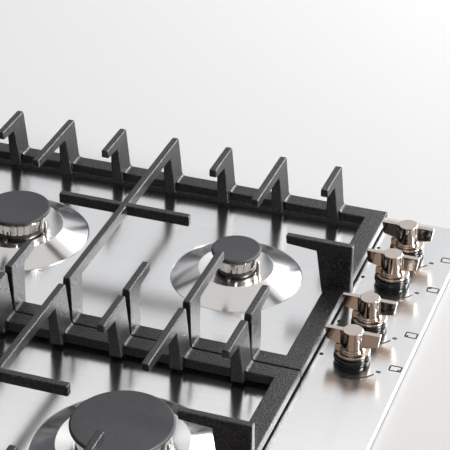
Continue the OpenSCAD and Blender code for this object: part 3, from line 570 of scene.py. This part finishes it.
def brush_lines(mesh):
    """Coordinates whose first axis crosses the brushed lines: x on the flat, and on the rises,
    which are brushed in circles, the distance from the burner beside a tenth of the angle."""
    corners = np.empty(len(mesh.loops), int)
    mesh.loops.foreach_get("vertex_index", corners)
    place = points_of(mesh)[corners, :2]
    sides = np.empty(len(mesh.polygons), int)
    mesh.polygons.foreach_get("loop_total", sides)
    centre = np.empty(len(mesh.polygons) * 3)
    mesh.polygons.foreach_get("center", centre)
    centre = np.repeat(centre.reshape(-1, 3)[:, :2], sides, axis=0)
    uv = place.copy()
    for c in CORNERS:
        arm = place - BURNER[c]
        inside = np.linalg.norm(centre - BURNER[c], axis=1) < CONE_RADIUS[c] + ROUND_BRUSHED
        angle = np.arctan2(arm[:, 1], arm[:, 0])
        round_uv = np.stack([np.linalg.norm(arm, axis=1), ROUND_BRUSH_SCALE * angle], 1)
        uv = np.where(inside[:, None], round_uv, uv)
    mesh.uv_layers.new(name="grain").data.foreach_set("uv", uv.ravel())


def plate_rim(flat, out):
    """Grid of the rim: a quarter ellipse, x = lean cos b and z = top sin b, carried round the
    flat's outline, with a narrow flat band before it."""
    bend = np.radians(np.arange(90, -1, -RIM_STEP))
    rise = RIM_FOOT + (PLATE_TOP - RIM_FOOT) * np.sin(bend)
    rim = np.stack([RIM_LEAN * np.cos(bend), rise], 1)
    rim = np.vstack([[[-FLAT_BAND, PLATE_TOP]], rim, [[RIM_LEAN, 0]]])
    edge = flat[:, None, :] + out[:, None, :] * rim[None, :, :1]
    heights = np.broadcast_to(rim[None, :, 1:], (len(flat), len(rim), 1))
    return np.concatenate([edge, heights], -1)


def pressed_plate():
    """The sheet: a flat with holes, a rim carried round it, and a turned surface for each rise."""
    flat, out = rounded_rectangle(PLATE_SIZE[0] - 2 * RIM_LEAN, PLATE_SIZE[1] - 2 * RIM_LEAN,
                                  PLATE_CORNER - RIM_LEAN)
    loops = [flat - FLAT_BAND * out]
    grids = []
    for c in CORNERS:
        profile = cone_profile(c)
        loops.append(circle(BURNER[c], profile[0, 0], RISE_TURNS))
        grids.append(revolved(profile, BURNER[c], RISE_TURNS))
        loops.append(circle(KNOB[c], SPINDLE_HOLE, HOLE_TURNS))
    grids.append(plate_rim(flat, out))
    points, faces = filled(loops, PLATE_TOP)
    points = [points]
    for grid in grids:
        faces += grid_faces(*grid.shape[:2], close_rows=True, first=sum(map(len, points))).tolist()
        points.append(grid.reshape(-1, 3))
    plate = mesh_object("plate", np.vstack(points), faces, merge=PLATE_MERGE)
    face_up(plate)
    brush_lines(plate.data)
    shade(plate, PLATE_CREASE)
    thickened(plate, SHEET)
    flattened(plate)
    placed(plate, HOB, "plate", "top_plate")


# The prints on the plate, with their places measured from the knob
PRINT_LIFT = 0.05 * MM
LINE = 1.6 * MM
FINE_LINE = LINE * 0.8
ARC_RADIUS = 27.5 * MM
ARC_FROM, ARC_TO, ARC_POINTS = 189, 240, 24
ARC_SWELL, ARC_SHRINK = 1.15, 0.75
BIG_FLAME = (-26.8 * MM, 0), 4.6 * MM, 3.0 * MM
SMALL_FLAME = (-9.6 * MM, -26.4 * MM), 3.4 * MM, 2.3 * MM
FLAME_POINTS, FLAME_START = 28, 1e-3
FLAME_TAPER, FLAME_FULL = 1.4, 1.3
PLAN_WIDE, PLAN_DEEP, PLAN_CORNER, PLAN_STEPS = 7.3 * MM, 10.2 * MM, 0.8 * MM, 3
PLAN_AWAY = 39.4 * MM
SPOT_PLACE = dict(zip(CORNERS, ((-1.9, -3.2), (-1.9, 3.2), (1.9, 3.2), (1.9, -3.2))))
SPOT_RADIUS = 1.1 * MM
OFF_DOT_AWAY, OFF_DOT_RADIUS = 27.9 * MM, 1.8 * MM
DOT_TURNS, DOT_CORE = 20, 0.02


def ribbon(path, width, closed):
    """Grid of two rows beside a path: each point moved sideways by half the width."""
    ahead = np.roll(path, -1, 0) - np.roll(path, 1, 0)
    if not closed:
        ahead[0], ahead[-1] = path[1] - path[0], path[-1] - path[-2]
    side = np.stack([-ahead[:, 1], ahead[:, 0]], 1) / np.linalg.norm(ahead, axis=1)[:, None]
    width = np.broadcast_to(width, len(path))[:, None]
    return np.stack([path + side * width / 2, path - side * width / 2], 1)


def flame_outline(centre, length, width):
    """Drop: x = 1.3 (w / 2) sin t |sin(t / 2)| to the power 1.4, y = (l / 2) cos t, for t round a
    full turn."""
    t = np.linspace(0, 2 * math.pi, FLAME_POINTS, endpoint=False) + FLAME_START
    x = width / 2 * np.sin(t) * np.abs(np.sin(t / 2)) ** FLAME_TAPER * FLAME_FULL
    return centre + np.stack([x, length / 2 * np.cos(t)], 1)


def knob_prints(c):
    """Off dot, two flames joined by an arc, and the small plan of the burners for one knob."""
    here = np.array(KNOB[c])
    arc = np.radians(np.linspace(ARC_FROM, ARC_TO, ARC_POINTS))
    arc_path = here + ARC_RADIUS * np.stack([np.cos(arc), np.sin(arc)], 1)
    arc_line = LINE * np.linspace(ARC_SWELL, ARC_SHRINK, ARC_POINTS)
    plan, _ = rounded_rectangle(PLAN_WIDE, PLAN_DEEP, PLAN_CORNER, PLAN_STEPS)
    plan = plan + here + [0, -PLAN_AWAY]
    spot = here + [0, -PLAN_AWAY] + np.array(SPOT_PLACE[c]) * MM
    strips = [(ribbon(arc_path, arc_line, False), False)]
    for (place, length, width), line in ((BIG_FLAME, LINE), (SMALL_FLAME, FINE_LINE)):
        strips.append((ribbon(flame_outline(here + place, length, width), line, True), True))
    strips.append((ribbon(plan, FINE_LINE, True), True))
    for centre, radius in ((here + [0, OFF_DOT_AWAY], OFF_DOT_RADIUS), (spot, SPOT_RADIUS)):
        rings = [circle(centre, reach, DOT_TURNS) for reach in (radius, radius * DOT_CORE)]
        strips.append((np.stack(rings, 1), True))
    points, faces, first = [], [], 0
    for strip, closed in strips:
        rows = len(strip)
        points.append(with_height(strip.reshape(-1, 2), PLATE_TOP + PRINT_LIFT))
        faces += grid_faces(rows, 2, close_rows=closed, first=first).tolist()
        first += 2 * rows
    prints = mesh_object("prints_" + c, np.vstack(points), faces, recalculate=False)
    face_up(prints)
    placed(prints, HOB, "print")


# The burners
CAP_SEAT = 3.4 * MM
CAP_RING_GAP, CAP_RING_WALL = 0.6 * MM, 2 * MM
CAP_FLAT, CAP_FLAT_EDGE = 1.6 * MM, 1 * MM
CAP_SHOULDER, CAP_SHOULDER_EDGE = 0.5 * MM, 0.7 * MM
CAP_SIDE, CAP_SIDE_EDGE = 1.2 * MM, 0.5 * MM
CAP_EDGE, CAP_SEAT_EDGE = 0.3 * MM, 0.2 * MM
CAP_TURNS, CAP_STEPS = 128, 5


def burner_cap(c):
    """Thin turned disc with a rounded rim, and the locating ring under it."""
    low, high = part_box("cap_" + c)
    r, top = half_width("cap_" + c), high.z
    seat = top - CAP_SEAT
    ring = CUP_RADIUS[c] - CUP_WALL - CROWN_WALL - CAP_RING_GAP
    profile = filleted([
        (0, top, 0), (r - CAP_FLAT, top, CAP_FLAT_EDGE),
        (r - CAP_SHOULDER, top - CAP_SHOULDER, CAP_SHOULDER_EDGE),
        (r, top - CAP_SIDE, CAP_SIDE_EDGE), (r, seat + CAP_EDGE, CAP_EDGE),
        (r - CAP_SHOULDER, seat, CAP_SEAT_EDGE),
        (ring, seat, 0), (ring, low.z, CAP_EDGE), (ring - CAP_RING_WALL, low.z, CAP_EDGE),
        (ring - CAP_RING_WALL, seat, 0), (0, seat, 0)], CAP_STEPS)
    cap = revolved_object("burner_cap_" + c, profile, BURNER[c], CAP_TURNS)
    placed(cap, "cap_" + c, "cap", "cap_" + c)


CROWN_FOOT = 13.2 * MM
CROWN_EDGE, SPIGOT_EDGE = 0.3 * MM, 0.4 * MM
CROWN_STEPS, CROWN_CREASE = 8, 13
BAND_HIGH, BAND_INSET = 2.8 * MM, 0.5 * MM
BAND_START, SLOT_LINE = 0.4 * MM, 0.5 * MM
SLOT_PITCH, SLOT_HALF, SLOT_DEEP = 7 * MM, 0.55 * MM, 2.5 * MM
SLOT_FROM = 0.45 * MM
SLOT_POINTS = 16
FLUTE_DEEP, FLUTE_SHARE = 0.8 * MM, 0.15
OUTSIDE_SPIGOT = 1 * MM
TAPER_BELOW, TAPER_ABOVE = 0.05 * MM, 0.1 * MM
SEAM = 0.1 * MM


def burner_crown(c):
    """Ring with a slotted band on top and one flat face per slot down its taper: between two slots
    r = r0 cos(a) / cos(t - t0), the straight chord, where a is half a slot's turn. A flute as deep
    as FLUTE_DEEP parts two faces, and falls off in a straight line beside it."""
    low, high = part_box("crown_" + c)
    r, top = half_width("crown_" + c), high.z
    foot, band = PLATE_TOP + CROWN_FOOT, high.z - BAND_HIGH
    spigot = CUP_RADIUS[c] - CUP_WALL - SPIGOT_GAP
    bore = spigot - CROWN_WALL
    slots = int(2 * math.pi * r / SLOT_PITCH)
    profile = filleted([
        (bore, low.z, 0), (spigot, low.z, SPIGOT_EDGE), (spigot, foot, 0),
        (r - CROWN_TAPER, foot, CROWN_EDGE), (r, band, CROWN_EDGE),
        (r - BAND_INSET, band + BAND_START, 0), (r - BAND_INSET, band + SLOT_LINE, 0),
        (r - BAND_INSET, top, 0), (bore, top, 0), (bore, low.z + SEAM, 0)], CROWN_STEPS)

    def radius_of(radius, z, t):
        """Radius with its flat faces, flutes and slots, from the profile's height and the turn."""
        phase = (t * slots / (2 * math.pi)) % 1 - 0.5
        half = math.pi / slots
        chord = math.cos(half) / np.cos(2 * half * phase)
        outside = radius > spigot + OUTSIDE_SPIGOT
        on_taper = outside & (z > foot - TAPER_BELOW) & (z < band + TAPER_ABOVE)
        slot_half = SLOT_HALF / (2 * math.pi * r / slots)
        in_slot = (np.abs(phase) > 0.5 - slot_half) & (z > band + SLOT_FROM) & outside
        depth = np.clip(1 - (0.5 - np.abs(phase)) / FLUTE_SHARE, 0, 1)
        flute = on_taper * FLUTE_DEEP * depth
        return radius * np.where(on_taper, chord, 1) - flute - np.where(in_slot, SLOT_DEEP, 0)

    crown = revolved_object("burner_crown_" + c, profile, BURNER[c], slots * SLOT_POINTS,
                            radius_of, True, CROWN_CREASE)
    placed(crown, "crown_" + c, "crown", "crown_" + c)


PIN_RADIUS, PIN_GAP = 1.6 * MM, 0.4 * MM
PIN_SHOULDER, PIN_TOP, PIN_POINT = 10.6 * MM, 11 * MM, 0.5 * MM
PIN_FOOT_EDGE, PIN_EDGE = 0.2 * MM, 0.6 * MM
PIN_TURNS, PIN_STEPS = 32, 4
NUT_RADIUS, NUT_HIGH, NUT_EDGE = 2.7 * MM, 2 * MM, 0.25 * MM
NUT_SUNK = 1 * MM


def igniter_tips():
    """Glazed turned posts of the igniters, each with a hexagon nut round it on the disc."""
    low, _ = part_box("igniters")
    posts, nuts = [], []
    for c in CORNERS:
        place = BURNER[c] - [half_width("crown_" + c) + PIN_GAP + PIN_RADIUS, 0]
        post = filleted([
            (0, low.z, 0), (PIN_RADIUS, low.z, PIN_FOOT_EDGE),
            (PIN_RADIUS, PLATE_TOP + PIN_SHOULDER, PIN_EDGE), (PIN_POINT, PLATE_TOP + PIN_TOP, 0),
            (0, PLATE_TOP + PIN_TOP, 0)], PIN_STEPS)
        posts.append((revolved(post, place, PIN_TURNS).reshape(-1, 3),
                      grid_faces(PIN_TURNS, len(post), close_rows=True).tolist()))
        nut = [(NUT_RADIUS * math.cos(a), NUT_RADIUS * math.sin(a))
               for a in np.radians(np.arange(0, 360, 60))]
        points, faces = softened(*prism(nut, 0, NUT_HIGH), NUT_EDGE)
        seat = PLATE_TOP + CONE_HEIGHT - NUT_SUNK
        nuts.append((points[:, [0, 2, 1]] + [*place, seat], faces))
    placed(joined("igniter_posts", posts), HOB, "ceramic", "igniters")
    placed(joined("igniter_nuts", nuts), HOB, "cup")


# The knobs. Each row of the boot's outline holds the distance inside its widest lip in mm, the
# share of its height and the rounding in mm.
BOOT_OUTLINE = (
    (2.6, 0, 0.4), (1.7, 0.08, 0.6), (1.5, 0.22, 0.6), (2.4, 0.28, 0.3), (2.2, 0.32, 0.3),
    (0, 0.4, 0.6), (0.1, 0.66, 0.6), (1.4, 0.73, 0.3), (1.4, 0.78, 0.3), (0.7, 0.86, 0.4))
BOOT_NECK, BOOT_NECK_EDGE = 1 * MM, 0.3 * MM
BOOT_SEAM = 0.01 * MM
BOOT_STEPS, BOOT_TURNS = 6, 96


def knob_boot(c):
    """Moulded rubber skirt, turned: a foot on the plate, a groove, the widest lip, a groove and
    the neck under the knob."""
    low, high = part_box("boot_" + c)
    r, z, h = half_width("boot_" + c), low.z, high.z - low.z
    outline = [(r - inset * MM, z + share * h, edge * MM) for inset, share, edge in BOOT_OUTLINE]
    profile = filleted([
        (SPINDLE_HOLE, z, 0), *outline, (r - BOOT_NECK, high.z, BOOT_NECK_EDGE),
        (SPINDLE_HOLE, high.z, 0), (SPINDLE_HOLE, z + BOOT_SEAM, 0)], BOOT_STEPS)
    boot = revolved_object("knob_boot_" + c, profile, KNOB[c], BOOT_TURNS, closed=True)
    placed(boot, HOB, "boot", "boot_" + c)
    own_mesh(boot)


FLANGE_THICK, COLLAR_RADIUS, COLLAR_HIGH = 2 * MM, 10.6 * MM, 2 * MM
FLANGE_EDGE, FLANGE_SHOULDER = 0.5 * MM, 0.6 * MM
COLLAR_ROOT, COLLAR_EDGE, STEM_EDGE = 0.5 * MM, 0.4 * MM, 0.8 * MM
STEM_TOP, STEM_FLARE = 9 * MM, 0.6 * MM
WING_THICK, WING_SPAN, WING_DROP = 4.9 * MM, 50 * MM, 0.8 * MM
WING_TIP, WING_ROOT, WING_LEAN, WING_FILLET = 12.5 * MM, 15.6 * MM, 2.1 * MM, 3 * MM
WING_BURIED, WING_LEAST_EDGE, WING_ROWS, WING_CORNER = 3 * MM, 0.02 * MM, 8, 5
WING_LEAN_POWER = 4
TAB_WIDE, TAB_HIGH, TAB_FROM = 4.6 * MM, 3.4 * MM, 9 * MM
TAB_BURIED, TAB_INSET = 1 * MM, 0.3 * MM
KNOB_EDGE = 0.45 * MM
KNOB_TURNS, KNOB_STEPS = 96, 5
BORE_RADIUS, BORE_DEEP = 4.05 * MM, 18 * MM


def wing_shell(x, y, top, side):
    """Loft of a wing outwards from the stem. Its half width follows the fillet's arc
    w = X - sqrt(R^2 - (s - Y)^2) and then the blade, and its section is a rounded rectangle."""
    root = STEM_TOP + STEM_FLARE / 2
    arc_x = WING_THICK / 2 + WING_FILLET
    arc_y = math.sqrt((root + WING_FILLET) ** 2 - arc_x ** 2)
    start = root * arc_y / (root + WING_FILLET)
    end = WING_SPAN / 2
    turn = np.linspace(0, math.pi / 2, WING_CORNER)
    along = np.concatenate([
        [start - WING_BURIED], np.linspace(start, arc_y, WING_ROWS),
        np.linspace(arc_y, end, WING_ROWS)[1:-1], end - KNOB_EDGE + KNOB_EDGE * np.sin(turn)])
    shrink = np.concatenate([np.zeros(len(along) - WING_CORNER), KNOB_EDGE * (1 - np.cos(turn))])
    under = np.sqrt(np.maximum(WING_FILLET ** 2 - np.minimum(along - arc_y, 0) ** 2, 0))
    half = np.where(along < arc_y, arc_x - under, WING_THICK / 2)
    half[0] = half[1]
    slope = (WING_ROOT - WING_TIP) / (end - WING_LEAN - STEM_TOP)
    deep = np.clip(WING_ROOT - (along - STEM_TOP) * slope, WING_TIP, WING_ROOT)
    corner = np.concatenate([turn + k * math.pi / 2 for k in range(4)])
    sign_x = np.repeat([1, -1, -1, 1], WING_CORNER)
    sign_z = np.repeat([1, 1, -1, -1], WING_CORNER)
    edge = np.maximum(KNOB_EDGE - shrink, WING_LEAST_EDGE)[:, None]
    across = sign_x * (half - shrink)[:, None] + (np.cos(corner) - sign_x) * edge
    flat = np.where(sign_z > 0, -shrink[:, None], (shrink - deep)[:, None])
    high = flat + (np.sin(corner) - sign_z) * edge
    lean = high * WING_LEAN / WING_TIP * (along[:, None] / end) ** WING_LEAN_POWER
    reach = along[:, None] + lean
    points = np.stack([x + across * side, y + reach * side, top + high], -1)
    rows, columns = points.shape[:2]
    faces = grid_faces(rows, columns, close_columns=True).tolist()
    last = (rows - 1) * columns
    ends = [list(range(columns))[::-1], list(range(last, last + columns))]
    return points.reshape(-1, 3), faces + ends


def winged_knob(c):
    """Turned stem, collar and flange, two lofted wings and the pointer tab on the flange."""
    low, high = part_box("knob_" + c)
    flange, foot, top = half_width("knob_" + c), low.z, high.z
    x, y = KNOB[c]
    rise = foot + FLANGE_THICK
    profile = filleted([
        (0, foot + BORE_DEEP, 0), (BORE_RADIUS, foot + BORE_DEEP, 0), (BORE_RADIUS, foot, 0),
        (flange, foot, FLANGE_EDGE), (flange, rise, FLANGE_SHOULDER),
        (COLLAR_RADIUS, rise, COLLAR_ROOT), (COLLAR_RADIUS, rise + COLLAR_HIGH, COLLAR_EDGE),
        (STEM_TOP + STEM_FLARE, rise + COLLAR_HIGH, COLLAR_EDGE), (STEM_TOP, top, STEM_EDGE),
        (0, top, 0)], KNOB_STEPS)
    turned_part = revolved(profile, (x, y), KNOB_TURNS)
    shells = [(turned_part.reshape(-1, 3),
               grid_faces(KNOB_TURNS, len(profile), close_rows=True).tolist())]
    shells += [wing_shell(x, y, top - WING_DROP, side) for side in (1, -1)]
    half = TAB_WIDE / 2
    tab = [(-half, rise - TAB_BURIED), (half, rise - TAB_BURIED),
           (half, rise + TAB_HIGH), (-half, rise + TAB_HIGH)]
    points, faces = softened(*prism(tab, TAB_FROM, flange - TAB_INSET), KNOB_EDGE)
    shells.append((points + [x, y, 0], faces))
    placed(joined("winged_knob_" + c, shells), "knob_" + c, "knob", "knob_" + c)


# The grates
END_RAIL, SIDE_RAIL, RAIL_HIGH = 19.1 * MM, 17.4 * MM, 9.3 * MM
END_GAP, SHORT_REACH, RING_RADIUS = 50.1 * MM, 53.3 * MM, 47.2 * MM
SIDE_FINGERS, LONG_FINGER, CROSS_PITCHES = 3, 2, 4
FINGER_THICK, FINGER_FOOT = 6.9 * MM, 12.2 * MM
TIP_DEPTH, ROOT_DEPTH, TIP_LEAN = 8.5 * MM, 10.5 * MM, 1 * MM
FOOT_WIDE, UPRIGHT_WIDE, INSET, PROUD = 23 * MM, 29.5 * MM, 4.1 * MM, 4.3 * MM
WELD_FILLET, WELD_BURIED, WELD_INSET = 2.6 * MM, 1 * MM, 0.6 * MM
WELD_LEAN, WELD_POINTS = 0.05, 7
CAST_EDGE = 1.25 * MM
SUNK = 0.04 * MM
GRATE_CREASE = 50


def finger_shell(width, reach, foot, rail_top, top, proud=0.0, portal=0.0):
    """Upright with its arm, drawn in the plane of its side and narrowed upwards. A portal is the
    same upright mirrored at the far end of one long bar."""
    head = -proud + SUNK if proud else INSET
    near = [(-proud + SUNK, foot + SUNK), (-proud + SUNK, rail_top), (head, top)]
    inner = [(UPRIGHT_WIDE, top - ROOT_DEPTH), (FOOT_WIDE, foot + SUNK)]
    if portal:
        far = [(portal - u, v) for u, v in near[::-1]]
        section = near + far + [(portal - u, v) for u, v in inner[::-1]] + inner
    else:
        tip = [(reach - proud, top), (reach - proud - TIP_LEAN, top - TIP_DEPTH)]
        section = near + tip + inner
    return softened(*prism(section, -0.5, 0.5, width), CAST_EDGE)


def weld_shell(half, length, rail_top):
    """Concave weld between an upright and the rail: an arc of the fillet's radius on both sides."""
    a = np.linspace(0, math.pi / 2, WELD_POINTS)
    v = WELD_FILLET * (1 - np.cos(a))
    u = half + WELD_FILLET * (1 - np.sin(a)) - WELD_LEAN * v
    arc = [(p, rail_top + q) for p, q in zip(u, v)]
    section = [(half + WELD_FILLET, rail_top - WELD_BURIED)] + arc
    section += [(-p, q) for p, q in section[::-1]]
    return prism(section, WELD_INSET, length)


def rail_frame(x0, x1, y0, y1, foot, rail_top):
    """Closed rectangular frame of the rails, with rounded edges."""
    inner_x, inner_y = (x0 + SIDE_RAIL, x1 - SIDE_RAIL), (y0 + END_RAIL, y1 - END_RAIL)
    plan = [(xs[i], ys[j]) for xs, ys in (((x0, x1), (y0, y1)), (inner_x, inner_y))
            for i, j in ((0, 0), (1, 0), (1, 1), (0, 1))]
    points = [[x, y, z] for z in (foot, rail_top) for x, y in plan]
    faces = []
    for k in range(4):
        n = (k + 1) % 4
        faces += [[k, n, n + 4, k + 4], [k + 8, n + 8, n + 12, k + 12],
                  [k, n, n + 8, k + 8], [k + 4, n + 4, n + 12, k + 12]]
    return softened(points, faces, CAST_EDGE)


def cast_grate(side):
    """Rail frame, uprights with their arms, the portal across the middle and the short cross bar.
    Each is a closed shell with rounded edges, a hair inside its neighbour where they would be
    flush."""
    low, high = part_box("grate_" + side)
    x0, x1, y0, y1 = low.x, high.x, low.y, high.y
    y0 += PROUD
    y1 -= PROUD
    foot, top = low.z, high.z
    rail_top = foot + RAIL_HIGH
    middle_x, middle_y = (x0 + x1) / 2, (y0 + y1) / 2
    pitch = (y1 - y0 - 2 * END_GAP) / (2 * SIDE_FINGERS)

    def width(v):
        """Bar's width at a height: a straight line from its foot to its top."""
        return FINGER_FOOT + (FINGER_THICK - FINGER_FOOT) * (v - foot) / (top - foot)

    shells = [rail_frame(x0, x1, y0, y1, foot, rail_top)]
    long_reach = (x1 - x0) / 2 - RING_RADIUS
    side_reach = END_GAP + pitch - RING_RADIUS + PROUD
    weld, weld_faces = weld_shell(width(rail_top) / 2, SIDE_RAIL - WELD_INSET, rail_top)
    for step in range(-SIDE_FINGERS, SIDE_FINGERS + 1):
        y = middle_y + step * pitch
        for edge, turn in ((x0, 0), (x1, 180)):
            reach = long_reach if abs(step) == LONG_FINGER else SHORT_REACH
            if step:
                points, faces = finger_shell(width, reach, foot, rail_top, top)
                shells.append((turned(points, turn, (edge, y, 0)), faces))
            shells.append((turned(weld[:, [1, 0, 2]], turn, (edge, y, 0)), weld_faces))
    points, faces = finger_shell(width, 0, foot, rail_top, top, portal=x1 - x0)
    shells.append((points + [x0, middle_y, 0], faces))
    for edge, turn in ((y0, 90), (y1, -90)):
        points, faces = finger_shell(width, side_reach, foot, rail_top, top, PROUD)
        shells.append((turned(points, turn, (middle_x, edge, 0)), faces))
    half = CROSS_PITCHES * pitch / 2 - RING_RADIUS
    bar = [(-FINGER_THICK / 2, top - ROOT_DEPTH), (FINGER_THICK / 2, top - ROOT_DEPTH),
           (FINGER_THICK / 2, top - SUNK), (-FINGER_THICK / 2, top - SUNK)]
    points, faces = softened(*prism(bar, -half, half), CAST_EDGE)
    shells.append((points + [middle_x, middle_y, 0], faces))
    grate = joined("cast_grate_" + side, shells, GRATE_CREASE)
    placed(grate, "grate_" + side, "grate", "grate_" + side)


# The studio. A soft light has a place, a target, a width and height, a radiance and a colour.
SOFT_LIGHTS = (
    ("far_wall", (2.4, 0.35, 1.35), (0, 0, 0.1), (3.6, 1.6), 0.72, (1, 1, 1)),
    ("tan_wall", (-2.3, -0.2, 1.3), (0, 0, 0.1), (2.6, 1.3), 0.62, (1, 0.72, 0.52)),
    ("near_wall", (-0.9, -2.0, 0.75), (0, 0, 0.05), (2.2, 1.2), 0.44, (1, 0.86, 0.74)),
    ("back_wall", (-0.3, 2.6, 1.2), (0, 0, 0.05), (3.2, 1.3), 0.26, (0.92, 0.96, 1)),
    ("side_key", (1.5, -0.72, 0.85), (0, 0, 0.02), (1.2, 1.0), 5, (1, 1, 1)),
    ("overhead", (0.4, 0.1, 2.1), (0.1, 0, 0), (3.6, 3.6), 0.66, (1, 0.955, 0.9)))
# A distant lamp has an azimuth, an elevation, an irradiance and a spread, with angles in degrees.
LOW_SUNS = (("front_key", -96, 15, 6.5, 22), ("edge_key", -34, 14, 1.8, 24))
SURROUND_COLOR, SURROUND_STRENGTH = (0.86, 0.9, 1.0, 1), 0.17
WORKTOP_REACH, WORKTOP_DROP = 6.0, 0.2 * MM
CUTOUT_WIDE, CUTOUT_DEEP, CUTOUT_CORNER, CUTOUT_STEPS = 560 * MM, 490 * MM, 4 * MM, 3
CAMERA_PLACE = (-1.29668, -0.56940, 0.98663)
CAMERA_HEADING = (0.9435, 0.3314)
CAMERA_PITCH = -31.36
CAMERA_ROLL = 0.2
CAMERA_CLIP = (0.05, 50)
LENS = 154.55
SENSOR = 36


def photo_camera():
    """Camera at the photograph's viewing angle, from its heading, pitch and roll."""
    heading = Vector((*CAMERA_HEADING, 0)).normalized()
    pitch, roll = math.radians(CAMERA_PITCH), math.radians(CAMERA_ROLL)
    look = heading * math.cos(pitch) + Vector((0, 0, 1)) * math.sin(pitch)
    level = look.cross(Vector((0, 0, 1))).normalized()
    upright = level.cross(look)
    right = level * math.cos(roll) + upright * math.sin(roll)
    up = upright * math.cos(roll) - level * math.sin(roll)
    data = bpy.data.cameras.new("photo_camera")
    data.lens = LENS
    data.sensor_width = SENSOR
    data.clip_start, data.clip_end = CAMERA_CLIP
    camera = bpy.data.objects.new("photo_camera", data)
    turn = Matrix((right, up, -look)).transposed().to_4x4()
    camera.matrix_world = Matrix.Translation(CAMERA_PLACE) @ turn
    bpy.context.scene.collection.objects.link(camera)
    bpy.context.scene.camera = camera


def soft_light(name, place, target, size, radiance, color):
    """Rectangular soft light that looks at a target: power = pi x area x radiance."""
    data = bpy.data.lights.new(name, "AREA")
    data.shape = "RECTANGLE"
    data.size, data.size_y = size
    data.energy = math.pi * size[0] * size[1] * radiance
    data.color = color
    lamp = bpy.data.objects.new(name, data)
    lamp.location = place
    lamp.rotation_euler = (Vector(target) - Vector(place)).to_track_quat("-Z", "Y").to_euler()
    bpy.context.scene.collection.objects.link(lamp)


def low_sun(name, azimuth, elevation, irradiance, spread):
    """Distant lamp whose light comes from an azimuth and elevation in degrees."""
    data = bpy.data.lights.new(name, "SUN")
    data.energy = irradiance
    data.angle = math.radians(spread)
    lamp = bpy.data.objects.new(name, data)
    a, e = math.radians(azimuth), math.radians(elevation)
    toward = Vector((math.cos(e) * math.cos(a), math.cos(e) * math.sin(a), math.sin(e)))
    lamp.rotation_euler = toward.to_track_quat("Z", "Y").to_euler()
    bpy.context.scene.collection.objects.link(lamp)


def studio():
    """Pale worktop with a cut-out for the cooktop, four soft walls round it, a soft key at its
    right, a soft light overhead and two low distant lamps."""
    cut, _ = rounded_rectangle(CUTOUT_WIDE, CUTOUT_DEEP, CUTOUT_CORNER, CUTOUT_STEPS)
    outer = np.array([(-1, -1), (1, -1), (1, 1), (-1, 1)]) * WORKTOP_REACH
    floor = mesh_object("floor", *filled([outer, cut], -WORKTOP_DROP))
    face_up(floor)
    floor.data.materials.append(pale_floor())
    world = bpy.data.worlds.new("surround")
    world.use_nodes = True
    background = world.node_tree.nodes["Background"]
    background.inputs["Color"].default_value = SURROUND_COLOR
    background.inputs["Strength"].default_value = SURROUND_STRENGTH
    bpy.context.scene.world = world
    for light in SOFT_LIGHTS:
        soft_light(*light)
    for sun in LOW_SUNS:
        low_sun(*sun)
    bpy.context.scene.view_settings.view_transform = "Standard"
    bpy.context.scene.view_settings.look = "Medium High Contrast"


dress_nodes()
pressed_plate()
for corner in CORNERS:
    knob_prints(corner)
    burner_cap(corner)
    burner_crown(corner)
    knob_boot(corner)
    winged_knob(corner)
igniter_tips()
for grate_side in ("left", "right"):
    cast_grate(grate_side)
studio()
photo_camera()

bpy.context.view_layer.update()
